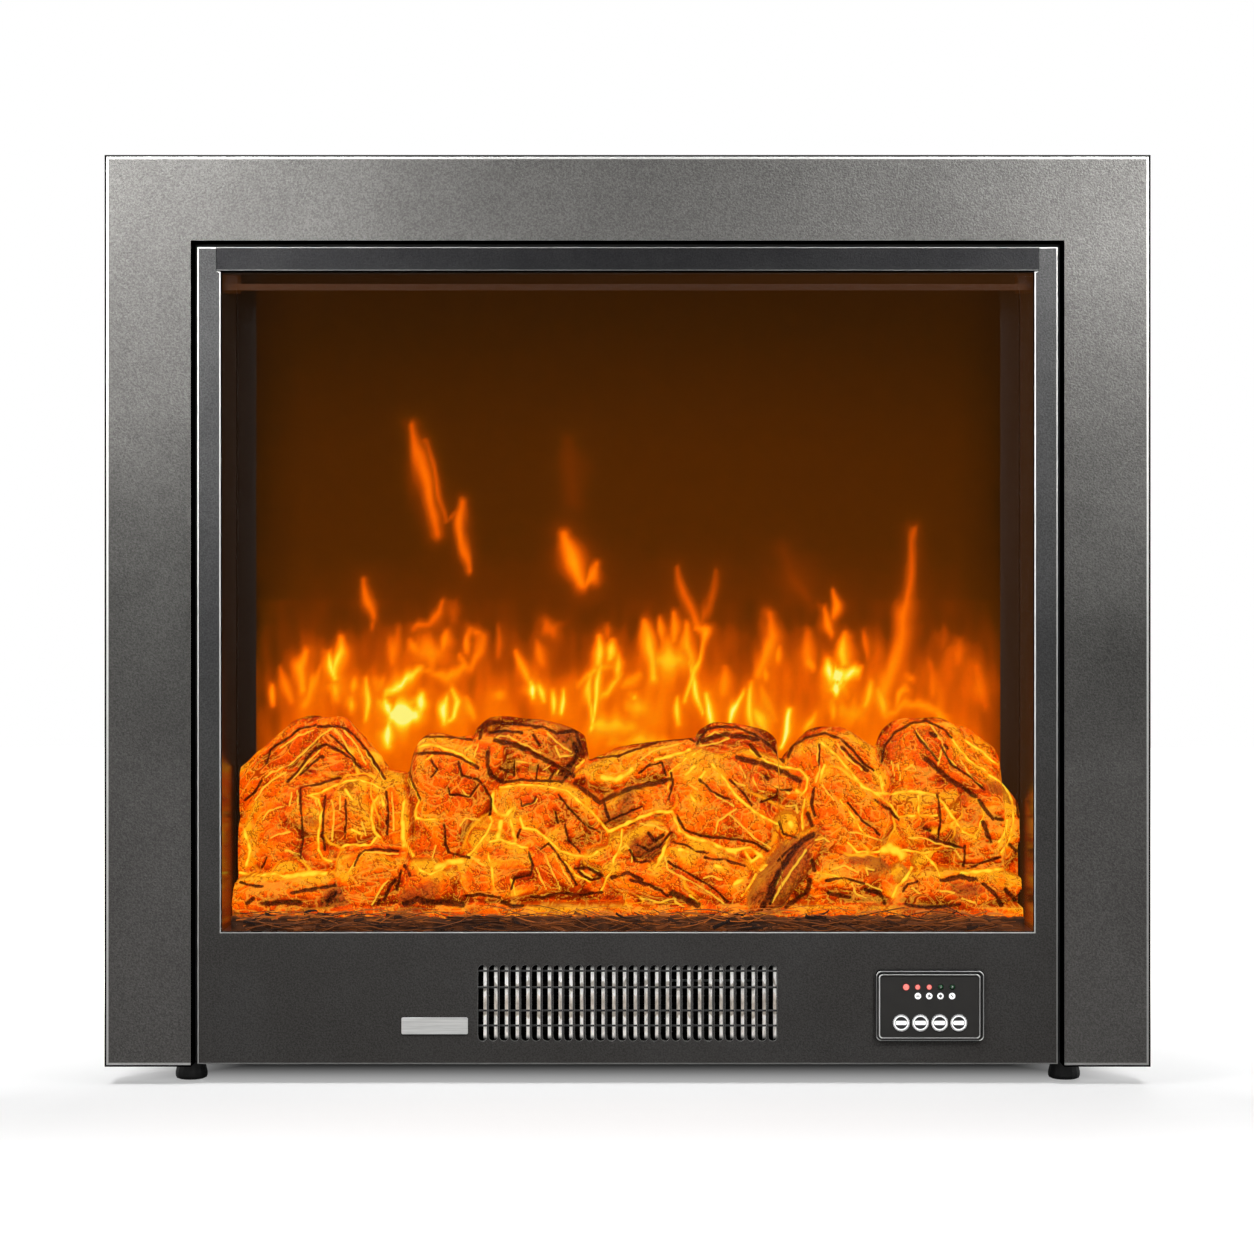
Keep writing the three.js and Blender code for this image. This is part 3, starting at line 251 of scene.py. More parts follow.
floorFinish = Finish("paleFloor", Roughness=0.9, Emission_Strength=1.0, Specular_IOR_Level=0.0)
ray = floorFinish.add("ShaderNodeLightPath", output="Is Camera Ray")
halfWidth, front, back = studio["body"]
beside = floorFinish.maths("ABSOLUTE", floorFinish.axis("X")) - halfWidth
ahead = floorFinish.maths("MAXIMUM", front - floorFinish.axis("Y"), floorFinish.axis("Y") - back)
away = floorFinish.maths("MAXIMUM", beside, ahead)
# painted shadow: the floor's glow for camera rays is low under and near the body and rises away from it
paintedShadowLift = 0.43 * away.between(*studio["underBody"]) + 0.57 * away.between(*studio["around"])
floorFinish.put(Base_Color=floorFinish.mix(floorFinish.grain(3, 2.0), shade("b2b2b2"), shade("b8b8b8")),
                Emission_Color=floorFinish.mix(ray * paintedShadowLift, shade("000000"), shade("ffffff")))
floorForm = bmesh.new()
bmesh.ops.create_grid(floorForm, x_segments=1, y_segments=1, size=studio["floor"])
floorMesh = bpy.data.meshes.new("floor")
floorForm.to_mesh(floorMesh)
floorForm.free()
floorMesh.materials.append(floorFinish.material)
floor = bpy.data.objects.new("floor", floorMesh)
scene.collection.objects.link(floor)
floor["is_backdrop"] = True
print("camera, studio and floor are set")

# finishes by the material slots of model.glb
plainLooks = {
    # slot: dark and light colour, mottle scale, roughness range, metallic, bump
    "casing_paint": ("161616", "232323", 260, (0.45, 0.6), 0.0, 0.25),
    "guard_paint": ("050505", "0c0c0c", 500, (0.35, 0.5), 0.0, 0.2),
    "zinc_steel": ("9a9c9e", "b8babb", 90, (0.28, 0.42), 1.0, 0.1),
    "mirror_foil": ("dcdcde", "eeeeef", 60, (0.05, 0.14), 1.0, 0.05),
    "wheel_aluminium": ("a2a4a6", "b9bbbc", 200, (0.3, 0.45), 1.0, 0.1),
    "motor_can": ("94989b", "b0b2b3", 150, (0.3, 0.45), 1.0, 0.1),
    "circuit_board": ("0c3a1c", "145a2c", 700, (0.35, 0.5), 0.0, 0.2),
    "white_nylon": ("d2cebf", "dedacd", 300, (0.4, 0.55), 0.0, 0.15),
    "heater_ceramic": ("8c8378", "a29a8f", 400, (0.7, 0.85), 0.0, 0.3),
    "black_plastic": ("101011", "1b1b1c", 900, (0.42, 0.56), 0.0, 0.3),
    "button_plastic": ("111112", "1b1b1d", 1500, (0.32, 0.42), 0.0, 0.1),
    "foot_rubber": ("0d0d0d", "191919", 800, (0.55, 0.75), 0.0, 0.35),
}


def plainFinish(slot):
    dark, light, scale, rough, metallic, relief = plainLooks[slot]
    finish = Finish(slot + "Finish", Metallic=metallic)
    mottle = finish.grain(scale * 0.12, 4.0, 0.6)
    fine = finish.grain(scale * 6.0, 2.0)
    finish.put(Base_Color=finish.mix(mottle.between(0.3, 0.7), shade(dark), shade(light)),
               Roughness=rough[0] + (rough[1] - rough[0]) * finish.grain(scale, 3.0))
    return finish.bump(fine + mottle * 0.6, relief, 0.0004)


finishes = {slot: plainFinish(slot) for slot in plainLooks}


def sprayedMetal(name, low, middle, high, bottom, top, settings):
    # metallic powder coat with painted shade that changes with height; cloudy mottle, fine flake, painted
    # shade on the returns, painted highlights along the edges
    finish = Finish(name, Specular_IOR_Level=0.0)
    height = finish.axis("Z").between(bottom, top)
    cloud = finish.grain(settings["cloud"], 5.0, 0.65)
    peel = finish.grain(620, 3.0, 0.6)
    flake = finish.grain(900, 2.0, 0.7)
    smear = finish.grain(70, 4.0, 0.6, (1.0, 1.0, 0.3))
    # painted shade: the coat's colour changes with height
    colour = finish.ramp(height, (0.0, low), (0.5, middle), (1.0, high))
    colour = finish.mix(cloud.between(0.35, 0.7) * 0.2, colour, shade(settings["cloudShade"]))
    speckle = finish.mix(flake.between(0.3, 0.7), shade("989898"), shade("e4e4e4"))
    colour = finish.mix(0.75, colour, speckle, "MULTIPLY")
    facing = finish.squarely()
    edge = (1 - facing.between(0.975, 0.998)) * facing.between(*settings["edge"])
    upperLeft = (finish.axis("Z", "Normal") - finish.axis("X", "Normal")).between(-0.1, 0.45)
    shadedReturn = 1 - facing.between(settings["edge"][0] - 0.05, settings["edge"][0])
    if "outline" in settings:  # painted shade: the trim's outline is dark for 1.5 mm, then a painted highlight for as much
        half, foot, head = settings["outline"]
        beside = half - finish.maths("ABSOLUTE", finish.axis("X"))
        above = finish.maths("MINIMUM", head - finish.axis("Z"), finish.axis("Z") - foot)
        inward = finish.maths("MINIMUM", beside, above)
        shadedReturn = finish.maths("MAXIMUM", shadedReturn, 1 - inward.between(1.3 * mm, 1.7 * mm))
        upperLeft = (finish.axis("Z") - finish.axis("X")).between(-0.3, 0.6)
        edge = finish.maths("MAXIMUM", edge, 1 - inward.between(2.7 * mm, 3.4 * mm))
    lit = 0.62 + 0.38 * upperLeft  # the light comes from the upper left
    # painted highlight along the edges, brighter towards the upper left
    colour = finish.mix(edge * lit * settings["shine"], colour, shade("b0b0ae"))
    coat = settings["rough"] + 0.18 * (peel - 0.5) + 0.14 * (smear - 0.5)
    # painted shade: the returns and the outline are near black
    finish.put(Base_Color=finish.mix(shadedReturn, colour, shade("040404")),
               Metallic=settings["metallic"] * (1 - shadedReturn), Roughness=coat * (1 - shadedReturn) + shadedReturn)
    return finish.bump(peel * 0.7 + flake * 0.3, settings["relief"], 0.0009)


trimCoat = {
    "metallic": 0.15, "rough": 0.42, "cloud": 9.0, "cloudShade": "7c7b78", "relief": 0.8,
    "edge": (0.84, 0.87), "shine": 1.0, "outline": (382 * mm, 13.7 * mm, 679.7 * mm),
}
panelCoat = {
    "metallic": 0.12, "rough": 0.44, "cloud": 14.0, "cloudShade": "5e5e5e", "relief": 0.55,
    "edge": (0.62, 0.72), "shine": 1.0,
}
railCoat = {**panelCoat, "cloudShade": "444444", "shine": 0.45}
finishes["pewter_paint"] = sprayedMetal("pewterPaint", "62605e", "434240", "5a5957", 0.0, 0.66, trimCoat)
finishes["panel_paint"] = sprayedMetal("panelPaint", "4b4947", "3b3b3b", "424242", 0.04, 0.6, panelCoat)
# painted shade: the recessed rail gets a darker copy of the panel paint
shadyRail = sprayedMetal("railPaintedShade", "202020", "222222", "262627", 0.08, 0.6, railCoat)

# painted light: the liner enamel glows brown as if lit by the fire, brighter towards +x
liner = Finish("linerEnamel", Emission_Strength=1.0, Specular_IOR_Level=0.1)
waves = liner.grain(14, 4.0, 0.6)
liner.put(Base_Color=liner.mix(waves, shade("120a06"), shade("201209")), Roughness=0.12 + 0.12 * waves,
          Emission_Color=liner.mix(liner.axis("X").between(-0.3, 0.3), shade("170c04"), shade("2c1706")))
finishes["liner_enamel"] = liner.bump(liner.grain(700, 2.0), 0.08, 0.0003)

glass = Finish("clearGlass", Roughness=0.02, IOR=1.45, Base_Color=shade("0c0806"))
sheen = glass.add("ShaderNodeFresnel", {}, {"IOR": 1.45})
haze = glass.grain(30, 3.0)
glass.put(Alpha=0.002 + sheen * 0.2 + haze * 0.006)
finishes["window_glass"] = glass

smoked = Finish("smokedAcrylic", Roughness=0.12, Base_Color=shade("241206"), Specular_IOR_Level=0.1)
cloudy = smoked.grain(40, 3.0)
# painted light: the smoked acrylic glows brown with the fire's light
smoked.put(Alpha=0.62 + cloudy * 0.12, Emission_Color=shade("5a300f"), Emission_Strength=0.3)
finishes["smoked_acrylic"] = smoked

brushed = Finish("brushedBadge", Metallic=0.1)
lines = brushed.grain(900, 3.0, 0.7, (0.03, 1.0, 1.0))
brushed.put(Base_Color=brushed.mix(lines.between(0.3, 0.7), shade("b8b8b6"), shade("cececc")),
            Roughness=0.3 + 0.2 * lines)
finishes["badge_aluminium"] = brushed.bump(lines, 0.2, 0.0002)

gloss = Finish("bezelGloss", Specular_IOR_Level=0.15)
dusty = gloss.grain(120, 4.0)
recessed = gloss.axis("Y").between(-93.85 * mm, -93.5 * mm)
raisedShade = gloss.mix(dusty, shade("020202"), shade("0a0a0a"))
recessShade = gloss.mix(dusty, shade("2c2b2a"), shade("333230"))
gloss.put(Base_Color=gloss.mix(recessed, raisedShade, recessShade), Roughness=0.3 + 0.1 * dusty)
finishes["bezel_gloss"] = gloss.bump(gloss.grain(1800, 1.0), 0.06, 0.0002)

# painted light: the slats glow with their own colour, in painted bands of highlight and wire shadow
slats = Finish("slatsPaintedLight", Metallic=0.3, Emission_Strength=0.36, Specular_IOR_Level=0.2)
step = slats.grain(60, 2.0, 0.5, (3.0, 0.01, 0.3))
rise = slats.axis("Z").between(0.038, 0.086) + (step - 0.5) * 0.4
paintedLightBands = slats.ramp(rise, (0.0, "ece8e2"), (0.14, "f6f3ee"), (0.18, "a79d90"), (0.21, "b5ab9e"),
                   (0.26, "cfc6ba"), (0.45, "b4aa9e"), (0.6, "e2dcd4"), (0.64, "f8f6f1"), (0.74, "f2efea"),
                   (0.77, "a39c93"), (0.83, "aaa39a"), (0.87, "fdfcf9"), (1.0, "f2f0ea"))
worn = slats.grain(500, 3.0, 0.7, (1, 1, 0.3))
wornLightBands = slats.mix(worn.between(0.35, 0.7) * 0.5, paintedLightBands, shade("6a625a"))
# painted shade: slat faces turned from the front, and the slats above and below the slots, are near black
shown = slats.axis("Z").between(33 * mm, 37 * mm) * (1 - slats.axis("Z").between(83 * mm, 87 * mm))
slatColour = slats.mix(slats.squarely().between(0.6, 0.9) * shown, shade("050505"), wornLightBands)
slats.put(Base_Color=slatColour, Emission_Color=slatColour, Roughness=0.3 + 0.2 * worn)
finishes["louvre_aluminium"] = slats.bump(worn, 0.2, 0.0003)

filterCloth = Finish("filterCloth", Roughness=0.95, Specular_IOR_Level=0.05)
filterCloth.put(Base_Color=filterCloth.mix(filterCloth.cells(900), shade("030303"), shade("0c0c0c")))

# painted shade: the blower duct behind the slots is painted near black, as shade falls there
duct = Finish("ductDark", Metallic=0.4, Specular_IOR_Level=0.1)
soot = duct.grain(60, 4.0, 0.6)
duct.put(Base_Color=duct.mix(soot, shade("060606"), shade("161412")), Roughness=0.5 + 0.2 * soot)
duct.bump(soot, 0.2, 0.0005)
# painted shade: the heater behind the slots is painted near black
coil = Finish("heaterDark", Specular_IOR_Level=0.05)
crustAndShade = coil.grain(420, 3.0, 0.6)
coil.put(Base_Color=coil.mix(crustAndShade.between(0.35, 0.65), shade("070606"), shade("16110e")),
         Roughness=0.7 + 0.2 * crustAndShade)
coil.bump(crustAndShade, 0.3, 0.0005)

for node in nodes.values():
    for index, old in enumerate(node.data.materials):
        slot = old.name.split(".")[0]
        if slot in finishes:
            node.data.materials[index] = finishes[slot].material
ownFinishes = {
    "canopy_bracket_left": smoked, "canopy_bracket_right": smoked, "blower_housing": duct,
    "blower_wheel": duct, "heater_element": coil, "thermal_cutout": coil,
}
for name, finish in ownFinishes.items():
    nodes[name].data.materials[0] = finish.material
print("finishes are on the carried-over parts")


# making pieces
def makePiece(name, form, finish, body, stands=(), smooth=None):
    mesh = bpy.data.meshes.new(name)
    if smooth is not None:
        for face in form.faces:
            face.smooth = smooth
    form.to_mesh(mesh)
    form.free()
    mesh.materials.append(finish.material)
    piece = bpy.data.objects.new(name, mesh)
    scene.collection.objects.link(piece)
    if stands:
        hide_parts(*stands)
    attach(piece, body)
    return piece


def copyOf(node):  # a CAD part's shape with its loose triangles joined
    form = bmesh.new()
    form.from_mesh(nodes[node].data)
    bmesh.ops.remove_doubles(form, verts=form.verts, dist=1e-5)
    flat = math.radians(0.5)
    bmesh.ops.dissolve_limit(form, angle_limit=flat, verts=form.verts, edges=form.edges,
                             use_dissolve_boundaries=False)
    return form


def soften(form, width, segments, chosen=lambda edge: True):
    sharp = math.radians(30)
    edges = [edge for edge in form.edges if len(edge.link_faces) == 2
             and edge.calc_face_angle(0) > sharp and chosen(edge)]
    made = bmesh.ops.bevel(form, geom=edges, offset=width, offset_type="OFFSET", affect="EDGES",
                           segments=segments, profile=0.5, material=-1, clamp_overlap=True)
    for face in made["faces"]:
        face.smooth = True
    return form


sheets = {
    # node: rolled radius along the outline, and at the openings and slots
    "surround_trim": (1.1 * mm, 1.1 * mm),
    "front_panel": (1.2 * mm, 0.42 * mm),
    "top_rail": (0.9 * mm, 0.4 * mm),
}
railSeam = {"foot": 595 * mm, "half": 301.5 * mm}  # the rail's ends, which meet the columns
slotsTop = 100 * mm
for node, (outer, inner) in sheets.items():
    form = copyOf(node)
    low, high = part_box(node)
    front = min(vert.co.y for vert in form.verts)

    def inFront(edge):
        return all(vert.co.y < front + 0.4 * mm for vert in edge.verts)

    def seam(edge):
        first, second = edge.verts
        atEnd = all(vert.co.z > railSeam["foot"] and abs(vert.co.x) < railSeam["half"] for vert in edge.verts)
        return node != "surround_trim" and atEnd and abs(first.co.z - second.co.z) > 1 * mm

    def outline(edge):
        reach = [min(vert.co.x - low.x, high.x - vert.co.x, high.z - vert.co.z, vert.co.z - low.z)
                 for vert in edge.verts]
        window = node == "front_panel" and all(vert.co.z > slotsTop for vert in edge.verts)
        return inFront(edge) and (max(reach) < 0.5 * mm or window) and not seam(edge)

    soften(form, outer, 6, outline)
    soften(form, inner, 3, lambda edge: inFront(edge) and not outline(edge) and not seam(edge))
    slot = "pewter_paint" if node == "surround_trim" else "panel_paint"
    finish = shadyRail if node == "top_rail" else finishes[slot]
    makePiece(node.replace("_", "") + "Sheet", form, finish, "casing", (node,))
print("front sheets have rolled edges")

# log bed: one moulded shell of many log forms
logBed = {
    "voxel": 1.65 * mm, "back": -11.5 * mm, "front": -74.6 * mm, "foot": 111.4 * mm, "side": 293.6 * mm,
    "crevice": 2.0 * mm, "chips": 46, "columns": 588, "rows": 157,
}
logForms = [
    # name, x, z, length, thickness, tilt, front y, box shape (2 round, 5 square), groove, plate, char
    ("leftWall", -254, 177, 80, 92, 0, -46, 3.5, 0.5, 0.3, 0.0),
    ("leftRoofWest", -262, 231, 91, 35, 43, -28, 3.0, 1.0, 0.0, 0.05),
    ("leftRoofEast", -208, 231, 74, 33, -50, -28, 3.0, 1.0, 0.0, 0.1),
    ("leftEndFace", -220, 216, 65, 53, 0, -35, 3.0, 0.6, 0.2, 0.0),
    ("barkBlock", -209, 193, 42, 58, 0, -57, 4.0, 0.3, 1.0, 0.1),
    ("barkStrips", -174, 193, 27, 60, 8, -55, 3.0, 1.0, 0.0, 0.1),
    ("stump", -187, 147, 55, 46, 0, -66, 3.0, 0.8, 0.2, 0.25),
    ("flatLeft", -250, 136, 84, 25, 2, -66, 3.5, 0.6, 0.6, 0.55),
    ("coneFront", -154, 140, 44, 37, 0, -64, 2.5, 0.2, 0.2, 0.15),
    ("slabWest", -133, 209, 63, 84, -12, -46, 4.0, 0.1, 0.7, 0.05),
    ("charredTop", -74, 240, 80, 47, -6, -28, 4.5, 0.5, 0.7, 0.9),
    ("slabMiddle", -58, 192, 97, 49, -22, -48, 3.5, 0.2, 0.8, 0.05),
    ("lowMiddle", -91, 152, 59, 40, 4, -64, 3.5, 0.9, 0.3, 0.05),
    ("lowWedge", -53, 156, 45, 37, -40, -60, 3.0, 1.0, 0.1, 0.15),
    ("longLog", 7, 229, 102, 33, 12, -33, 3.0, 0.4, 0.7, 0.25),
    ("longLogLower", 7, 201, 54, 25, 16, -48, 3.5, 0.5, 0.6, 0.5),
    ("smallDark", 10, 173, 43, 24, 36, -62, 3.0, 0.8, 0.3, 0.7),
    ("lowDiagonal", 18, 144, 67, 31, -16, -66, 3.0, 0.9, 0.3, 0.45),
    ("charredArch", 82, 242, 61, 36, -8, -23, 2.5, 0.8, 0.2, 0.7),
    ("bigOval", 67, 197, 84, 69, -30, -50, 2.8, 0.4, 0.5, 0.0),
    ("upperEast", 100, 219, 78, 34, -20, -42, 3.0, 0.3, 0.8, 0.45),
    ("knobLog", 58, 149, 64, 40, -18, -64, 2.6, 0.7, 0.3, 0.2),
    ("peakLog", 157, 220, 75, 60, -40, -41, 3.0, 0.7, 0.3, 0.2),
    ("peakFace", 166, 192, 63, 54, -20, -53, 3.5, 0.4, 0.5, 0.1),
    ("frontStick", 118, 155, 68, 25, 52, -74, 2.6, 1.2, 0.0, 0.85),
    ("emberBall", 120, 187, 18, 19, 0, -64, 2.0, 0.0, 0.0, 0.0),
    ("lowEast", 163, 146, 59, 37, -4, -64, 3.0, 0.7, 0.6, 0.4),
    ("bigEastEnd", 223, 229, 68, 71, 0, -37, 2.6, 0.5, 0.1, 0.0),
    ("bigEastBark", 258, 213, 105, 39, -46, -42, 3.0, 1.1, 0.2, 0.25),
    ("eastLower", 266, 178, 48, 66, -10, -55, 3.0, 0.6, 0.5, 0.3),
    ("brickBlock", 225, 191, 49, 43, 0, -57, 4.5, 0.1, 1.2, 0.1),
    ("flatEast", 245, 139, 92, 27, 0, -66, 3.5, 0.5, 0.9, 0.5),
    ("backEast", 264, 239, 46, 20, -38, -25, 3.0, 0.8, 0.1, 0.1),
    ("bedWest", -150, 150, 290, 80, 0, -36, 6.0, 0.3, 0.3, 0.0),
    ("bedEast", 140, 150, 300, 80, 0, -36, 6.0, 0.3, 0.3, 0.0),
    ("bedFoot", 0, 119, 580, 16, 0, -62, 6.0, 0.6, 0.5, 0.5),
]
# Lines on the logs as they stand in the photograph's frame: width, then x and y of each point.
logStrokes = {
    "hot": [  # crevices that the light shines through
        (2, 310, 795, 322, 792, 333, 786, 345, 782, 358, 780, 372, 784, 381, 789),
        (2.5, 307, 795, 318, 799, 321, 812, 318, 835, 318, 850, 322, 858, 331, 862),
        (3, 378, 796, 372, 806, 371, 818, 374, 832, 380, 838),
        (3, 404, 800, 402, 815, 402, 835, 406, 845, 413, 856), (5, 403, 822, 403, 846),
        (2, 340, 848, 348, 845, 360, 846, 370, 845, 376, 838),
        (1.5, 345, 876, 350, 870, 355, 861, 363, 850),
        (2.5, 240, 873, 258, 876, 275, 874, 286, 878, 310, 873), (5, 287, 876, 325, 874),
        (3, 345, 790, 352, 800), (3, 352, 830, 360, 834), (2, 380, 795, 384, 805),
        (2, 413, 862, 420, 870, 430, 875, 441, 870, 446, 864),
        (3, 418, 747, 430, 744, 445, 749, 462, 755, 474, 764),
        (2, 408, 780, 415, 790, 419, 800, 415, 810, 416, 818, 425, 820, 438, 819),
        (7, 436, 868, 450, 862, 463, 861), (2, 468, 856, 475, 848, 485, 836, 492, 822, 490, 817),
        (4, 493, 792, 492, 805, 497, 814, 507, 816, 512, 808), (2, 500, 788, 520, 785, 545, 786, 565, 790),
        (2.5, 566, 790, 580, 802, 592, 812, 600, 822, 608, 831),
        (2.5, 520, 818, 524, 828, 535, 830, 548, 840, 560, 851, 575, 856, 590, 857, 598, 852),
        (2.5, 490, 842, 500, 840, 515, 845, 527, 848), (5, 501, 822, 498, 838), (4, 510, 820, 515, 841),
        (2.5, 487, 852, 492, 870, 493, 889), (2.5, 511, 880, 515, 895), (1.5, 527, 850, 531, 862),
        (1.6, 565, 862, 575, 875, 590, 882),
        (1.8, 622, 830, 621, 845, 614, 860, 612, 870, 606, 880, 601, 892),
        (3, 608, 832, 622, 826, 640, 818, 655, 812, 672, 812), (2, 576, 768, 585, 760, 592, 757, 610, 757),
        (6, 602, 777, 616, 780, 632, 770), (3, 655, 760, 675, 755, 690, 750),
        (3.5, 672, 813, 680, 831, 690, 838, 710, 843, 730, 851, 750, 848, 762, 857),
        (5, 722, 848, 735, 853), (1.4, 668, 790, 670, 772, 685, 760, 702, 750),
        (3, 712, 764, 725, 780, 735, 795, 750, 808, 760, 816, 778, 824), (4, 685, 775, 695, 766),
        (4, 705, 772, 700, 778), (3, 690, 795, 696, 803), (9, 790, 824, 791, 826),
        (2, 750, 750, 760, 758, 775, 765, 790, 768, 800, 770),
        (2.5, 800, 770, 808, 779, 806, 790, 800, 796), (4, 797, 791, 801, 793), (2.5, 825, 765, 820, 781),
        (2.8, 822, 743, 838, 757, 850, 771, 862, 786, 875, 793, 892, 794, 912, 791, 935, 795, 945, 805,
         955, 820, 963, 832, 976, 838), (2.4, 805, 800, 802, 815, 803, 829),
        (1.5, 840, 800, 853, 815, 858, 825, 865, 835), (2, 767, 865, 756, 875, 750, 885, 742, 896),
        (3, 667, 840, 663, 855, 654, 869), (5, 735, 884, 742, 880), (4, 715, 866, 722, 868),
        (3, 745, 852, 752, 862, 761, 855), (4, 680, 850, 688, 852),
        (2, 868, 789, 880, 797, 892, 806, 899, 818), (2, 874, 770, 880, 780, 884, 792),
        (3, 900, 817, 915, 816), (2, 919, 796, 919, 815, 938, 816), (11, 885, 850, 892, 848, 903, 856),
        (1.6, 903, 850, 922, 853, 936, 852), (4, 962, 874, 978, 872, 1002, 870),
        (3, 912, 868, 906, 879, 898, 886, 893, 898), (2, 926, 856, 935, 865, 940, 876),
        (2.2, 990, 775, 1005, 785, 1012, 800, 1014, 820, 1010, 840, 1002, 853),
        (1.6, 972, 795, 982, 805, 984, 815, 980, 828, 975, 836), (2.5, 965, 740, 980, 750, 998, 765),
        (2, 950, 735, 960, 750, 975, 765, 986, 771), (2.5, 1008, 820, 1006, 832, 1000, 842),
        (3, 244, 830, 250, 850, 246, 866), (2, 425, 760, 432, 756), (3, 880, 775, 884, 785),
        (2, 848, 843, 858, 852, 880, 852), (2, 818, 873, 835, 876, 850, 880), (2, 700, 905, 690, 896)],
    "dark": [  # charred edges and burnt cracks
        (2, 288, 782, 300, 768, 312, 752, 326, 744, 341, 752, 352, 760, 360, 768),
        (1.6, 266, 764, 270, 750, 285, 740, 300, 729, 316, 725),
        (2, 318, 727, 336, 726, 347, 729, 360, 742, 372, 758, 385, 779),
        (1.6, 300, 775, 312, 764, 322, 756), (3, 321, 757, 323, 757), (1.5, 330, 735, 345, 748, 355, 760),
        (1.5, 300, 790, 301, 815, 303, 840, 300, 858), (1.6, 325, 796, 323, 815, 322, 835, 325, 850),
        (1.5, 345, 800, 346, 820, 344, 838), (2, 386, 792, 388, 815, 387, 835),
        (2, 300, 788, 320, 784, 340, 778), (4, 247, 903, 253, 899), (5, 262, 904, 280, 903, 300, 903),
        (3, 290, 893, 310, 890, 325, 887, 335, 886), (5, 328, 901, 335, 893),
        (2, 240, 883, 252, 886, 262, 887), (3, 384, 900, 390, 886, 395, 880), (3, 378, 904, 379, 901),
        (2, 397, 890, 401, 870), (2.4, 405, 866, 410, 876),
        (1.6, 354, 866, 358, 856, 364, 850, 380, 850, 398, 851),
        (6, 405, 904, 418, 900, 430, 902, 446, 902, 462, 905),
        (1.6, 399, 754, 410, 745, 422, 737, 446, 737, 475, 740),
        (2.2, 400, 755, 415, 754, 445, 753, 460, 758, 478, 768),
        (1.6, 399, 756, 408, 768, 412, 782, 420, 800),
        (1.3, 448, 788, 450, 795, 458, 795, 470, 797, 478, 785),
        (2, 478, 780, 486, 790, 491, 800, 490, 815),
        (1.6, 444, 825, 446, 845, 449, 853, 460, 856, 470, 858),
        (2.6, 480, 738, 482, 728, 492, 722, 520, 724, 545, 728, 556, 733, 576, 731, 579, 742, 583, 754),
        (4.5, 495, 740, 515, 745, 530, 752, 545, 760, 560, 768, 573, 776),
        (4.5, 570, 766, 578, 755, 574, 744), (4, 488, 752, 487, 765, 492, 777, 502, 781),
        (2, 504, 783, 520, 780, 545, 781, 562, 782, 570, 772), (1.2, 514, 760, 514, 776),
        (1.2, 538, 765, 536, 780), (1.4, 555, 770, 549, 781), (2, 490, 733, 505, 731, 522, 733),
        (2, 533, 735, 540, 746), (2.4, 500, 768, 508, 772), (1.6, 558, 795, 570, 810, 585, 825, 600, 833),
        (1.1, 520, 800, 522, 806, 533, 803, 536, 798), (1.3, 555, 812, 558, 823),
        (1.4, 565, 825, 568, 840, 580, 852), (2, 517, 838, 520, 830),
        (1.6, 528, 852, 533, 865, 530, 876, 515, 878, 511, 890),
        (1.6, 540, 850, 548, 843, 558, 855, 568, 870, 577, 885), (3, 575, 869, 588, 868, 602, 876),
        (2, 578, 872, 590, 880, 600, 878), (2.2, 530, 897, 545, 897, 560, 893, 580, 895, 602, 893),
        (3.5, 502, 902, 512, 907, 522, 906), (2.2, 466, 896, 480, 895, 500, 898),
        (1.8, 588, 756, 600, 758, 618, 756, 640, 748, 660, 741, 690, 738, 696, 743),
        (4, 575, 784, 588, 793, 600, 803), (4.2, 602, 802, 615, 795, 630, 789, 650, 784, 672, 780),
        (1.6, 640, 773, 650, 765, 662, 763, 666, 776), (1.6, 605, 823, 620, 816, 642, 806),
        (2, 604, 804, 610, 821), (1.8, 668, 800, 673, 785, 671, 773),
        (1.8, 676, 815, 685, 830, 700, 836, 730, 839, 752, 842, 768, 851),
        (2.2, 697, 744, 700, 738, 707, 729, 718, 727, 735, 727, 755, 735, 770, 745, 784, 762),
        (4, 702, 741, 715, 737, 728, 734), (4, 732, 736, 745, 737, 758, 740), (3, 751, 745, 760, 757),
        (5, 737, 758, 750, 761, 765, 765, 785, 773, 800, 781),
        (1.6, 760, 803, 775, 797, 778, 790, 792, 790), (3, 766, 777, 768, 779),
        (2, 700, 780, 712, 792, 730, 800), (1.6, 730, 780, 745, 795, 752, 806),
        (2, 788, 758, 793, 746, 806, 738, 825, 733, 842, 740, 852, 749, 864, 764, 874, 771),
        (2.6, 842, 747, 856, 762, 868, 771), (2.4, 814, 788, 812, 804, 815, 816), (3.6, 808, 814, 812, 826),
        (2, 875, 800, 890, 810, 899, 820), (1.8, 780, 822, 783, 834, 796, 838),
        (5.5, 813, 835, 802, 842, 790, 856, 780, 871, 771, 890, 763, 907),
        (4.5, 810, 880, 808, 890, 796, 900, 786, 907), (3, 812, 860, 815, 871),
        (2, 778, 861, 788, 851, 800, 843), (2, 775, 890, 770, 905), (3.2, 648, 833, 655, 841, 663, 835),
        (2, 638, 845, 650, 851, 660, 846, 671, 833), (2, 630, 850, 636, 862, 650, 862),
        (1.6, 672, 842, 685, 845, 696, 851, 708, 853), (1.5, 668, 862, 690, 874, 715, 890, 728, 902),
        (6, 672, 893, 686, 900, 698, 905), (2.4, 630, 880, 650, 885, 668, 896),
        (3, 612, 878, 628, 873, 642, 880), (1.8, 705, 858, 725, 860, 745, 866),
        (1.8, 882, 762, 885, 746, 895, 733, 910, 724, 926, 721, 942, 728, 952, 738),
        (4.6, 927, 759, 938, 769, 950, 780, 962, 787, 976, 797), (1.6, 914, 731, 925, 745, 938, 761),
        (1.6, 940, 745, 952, 765, 968, 775, 985, 790), (3, 930, 733, 936, 736), (2.6, 945, 745, 948, 748),
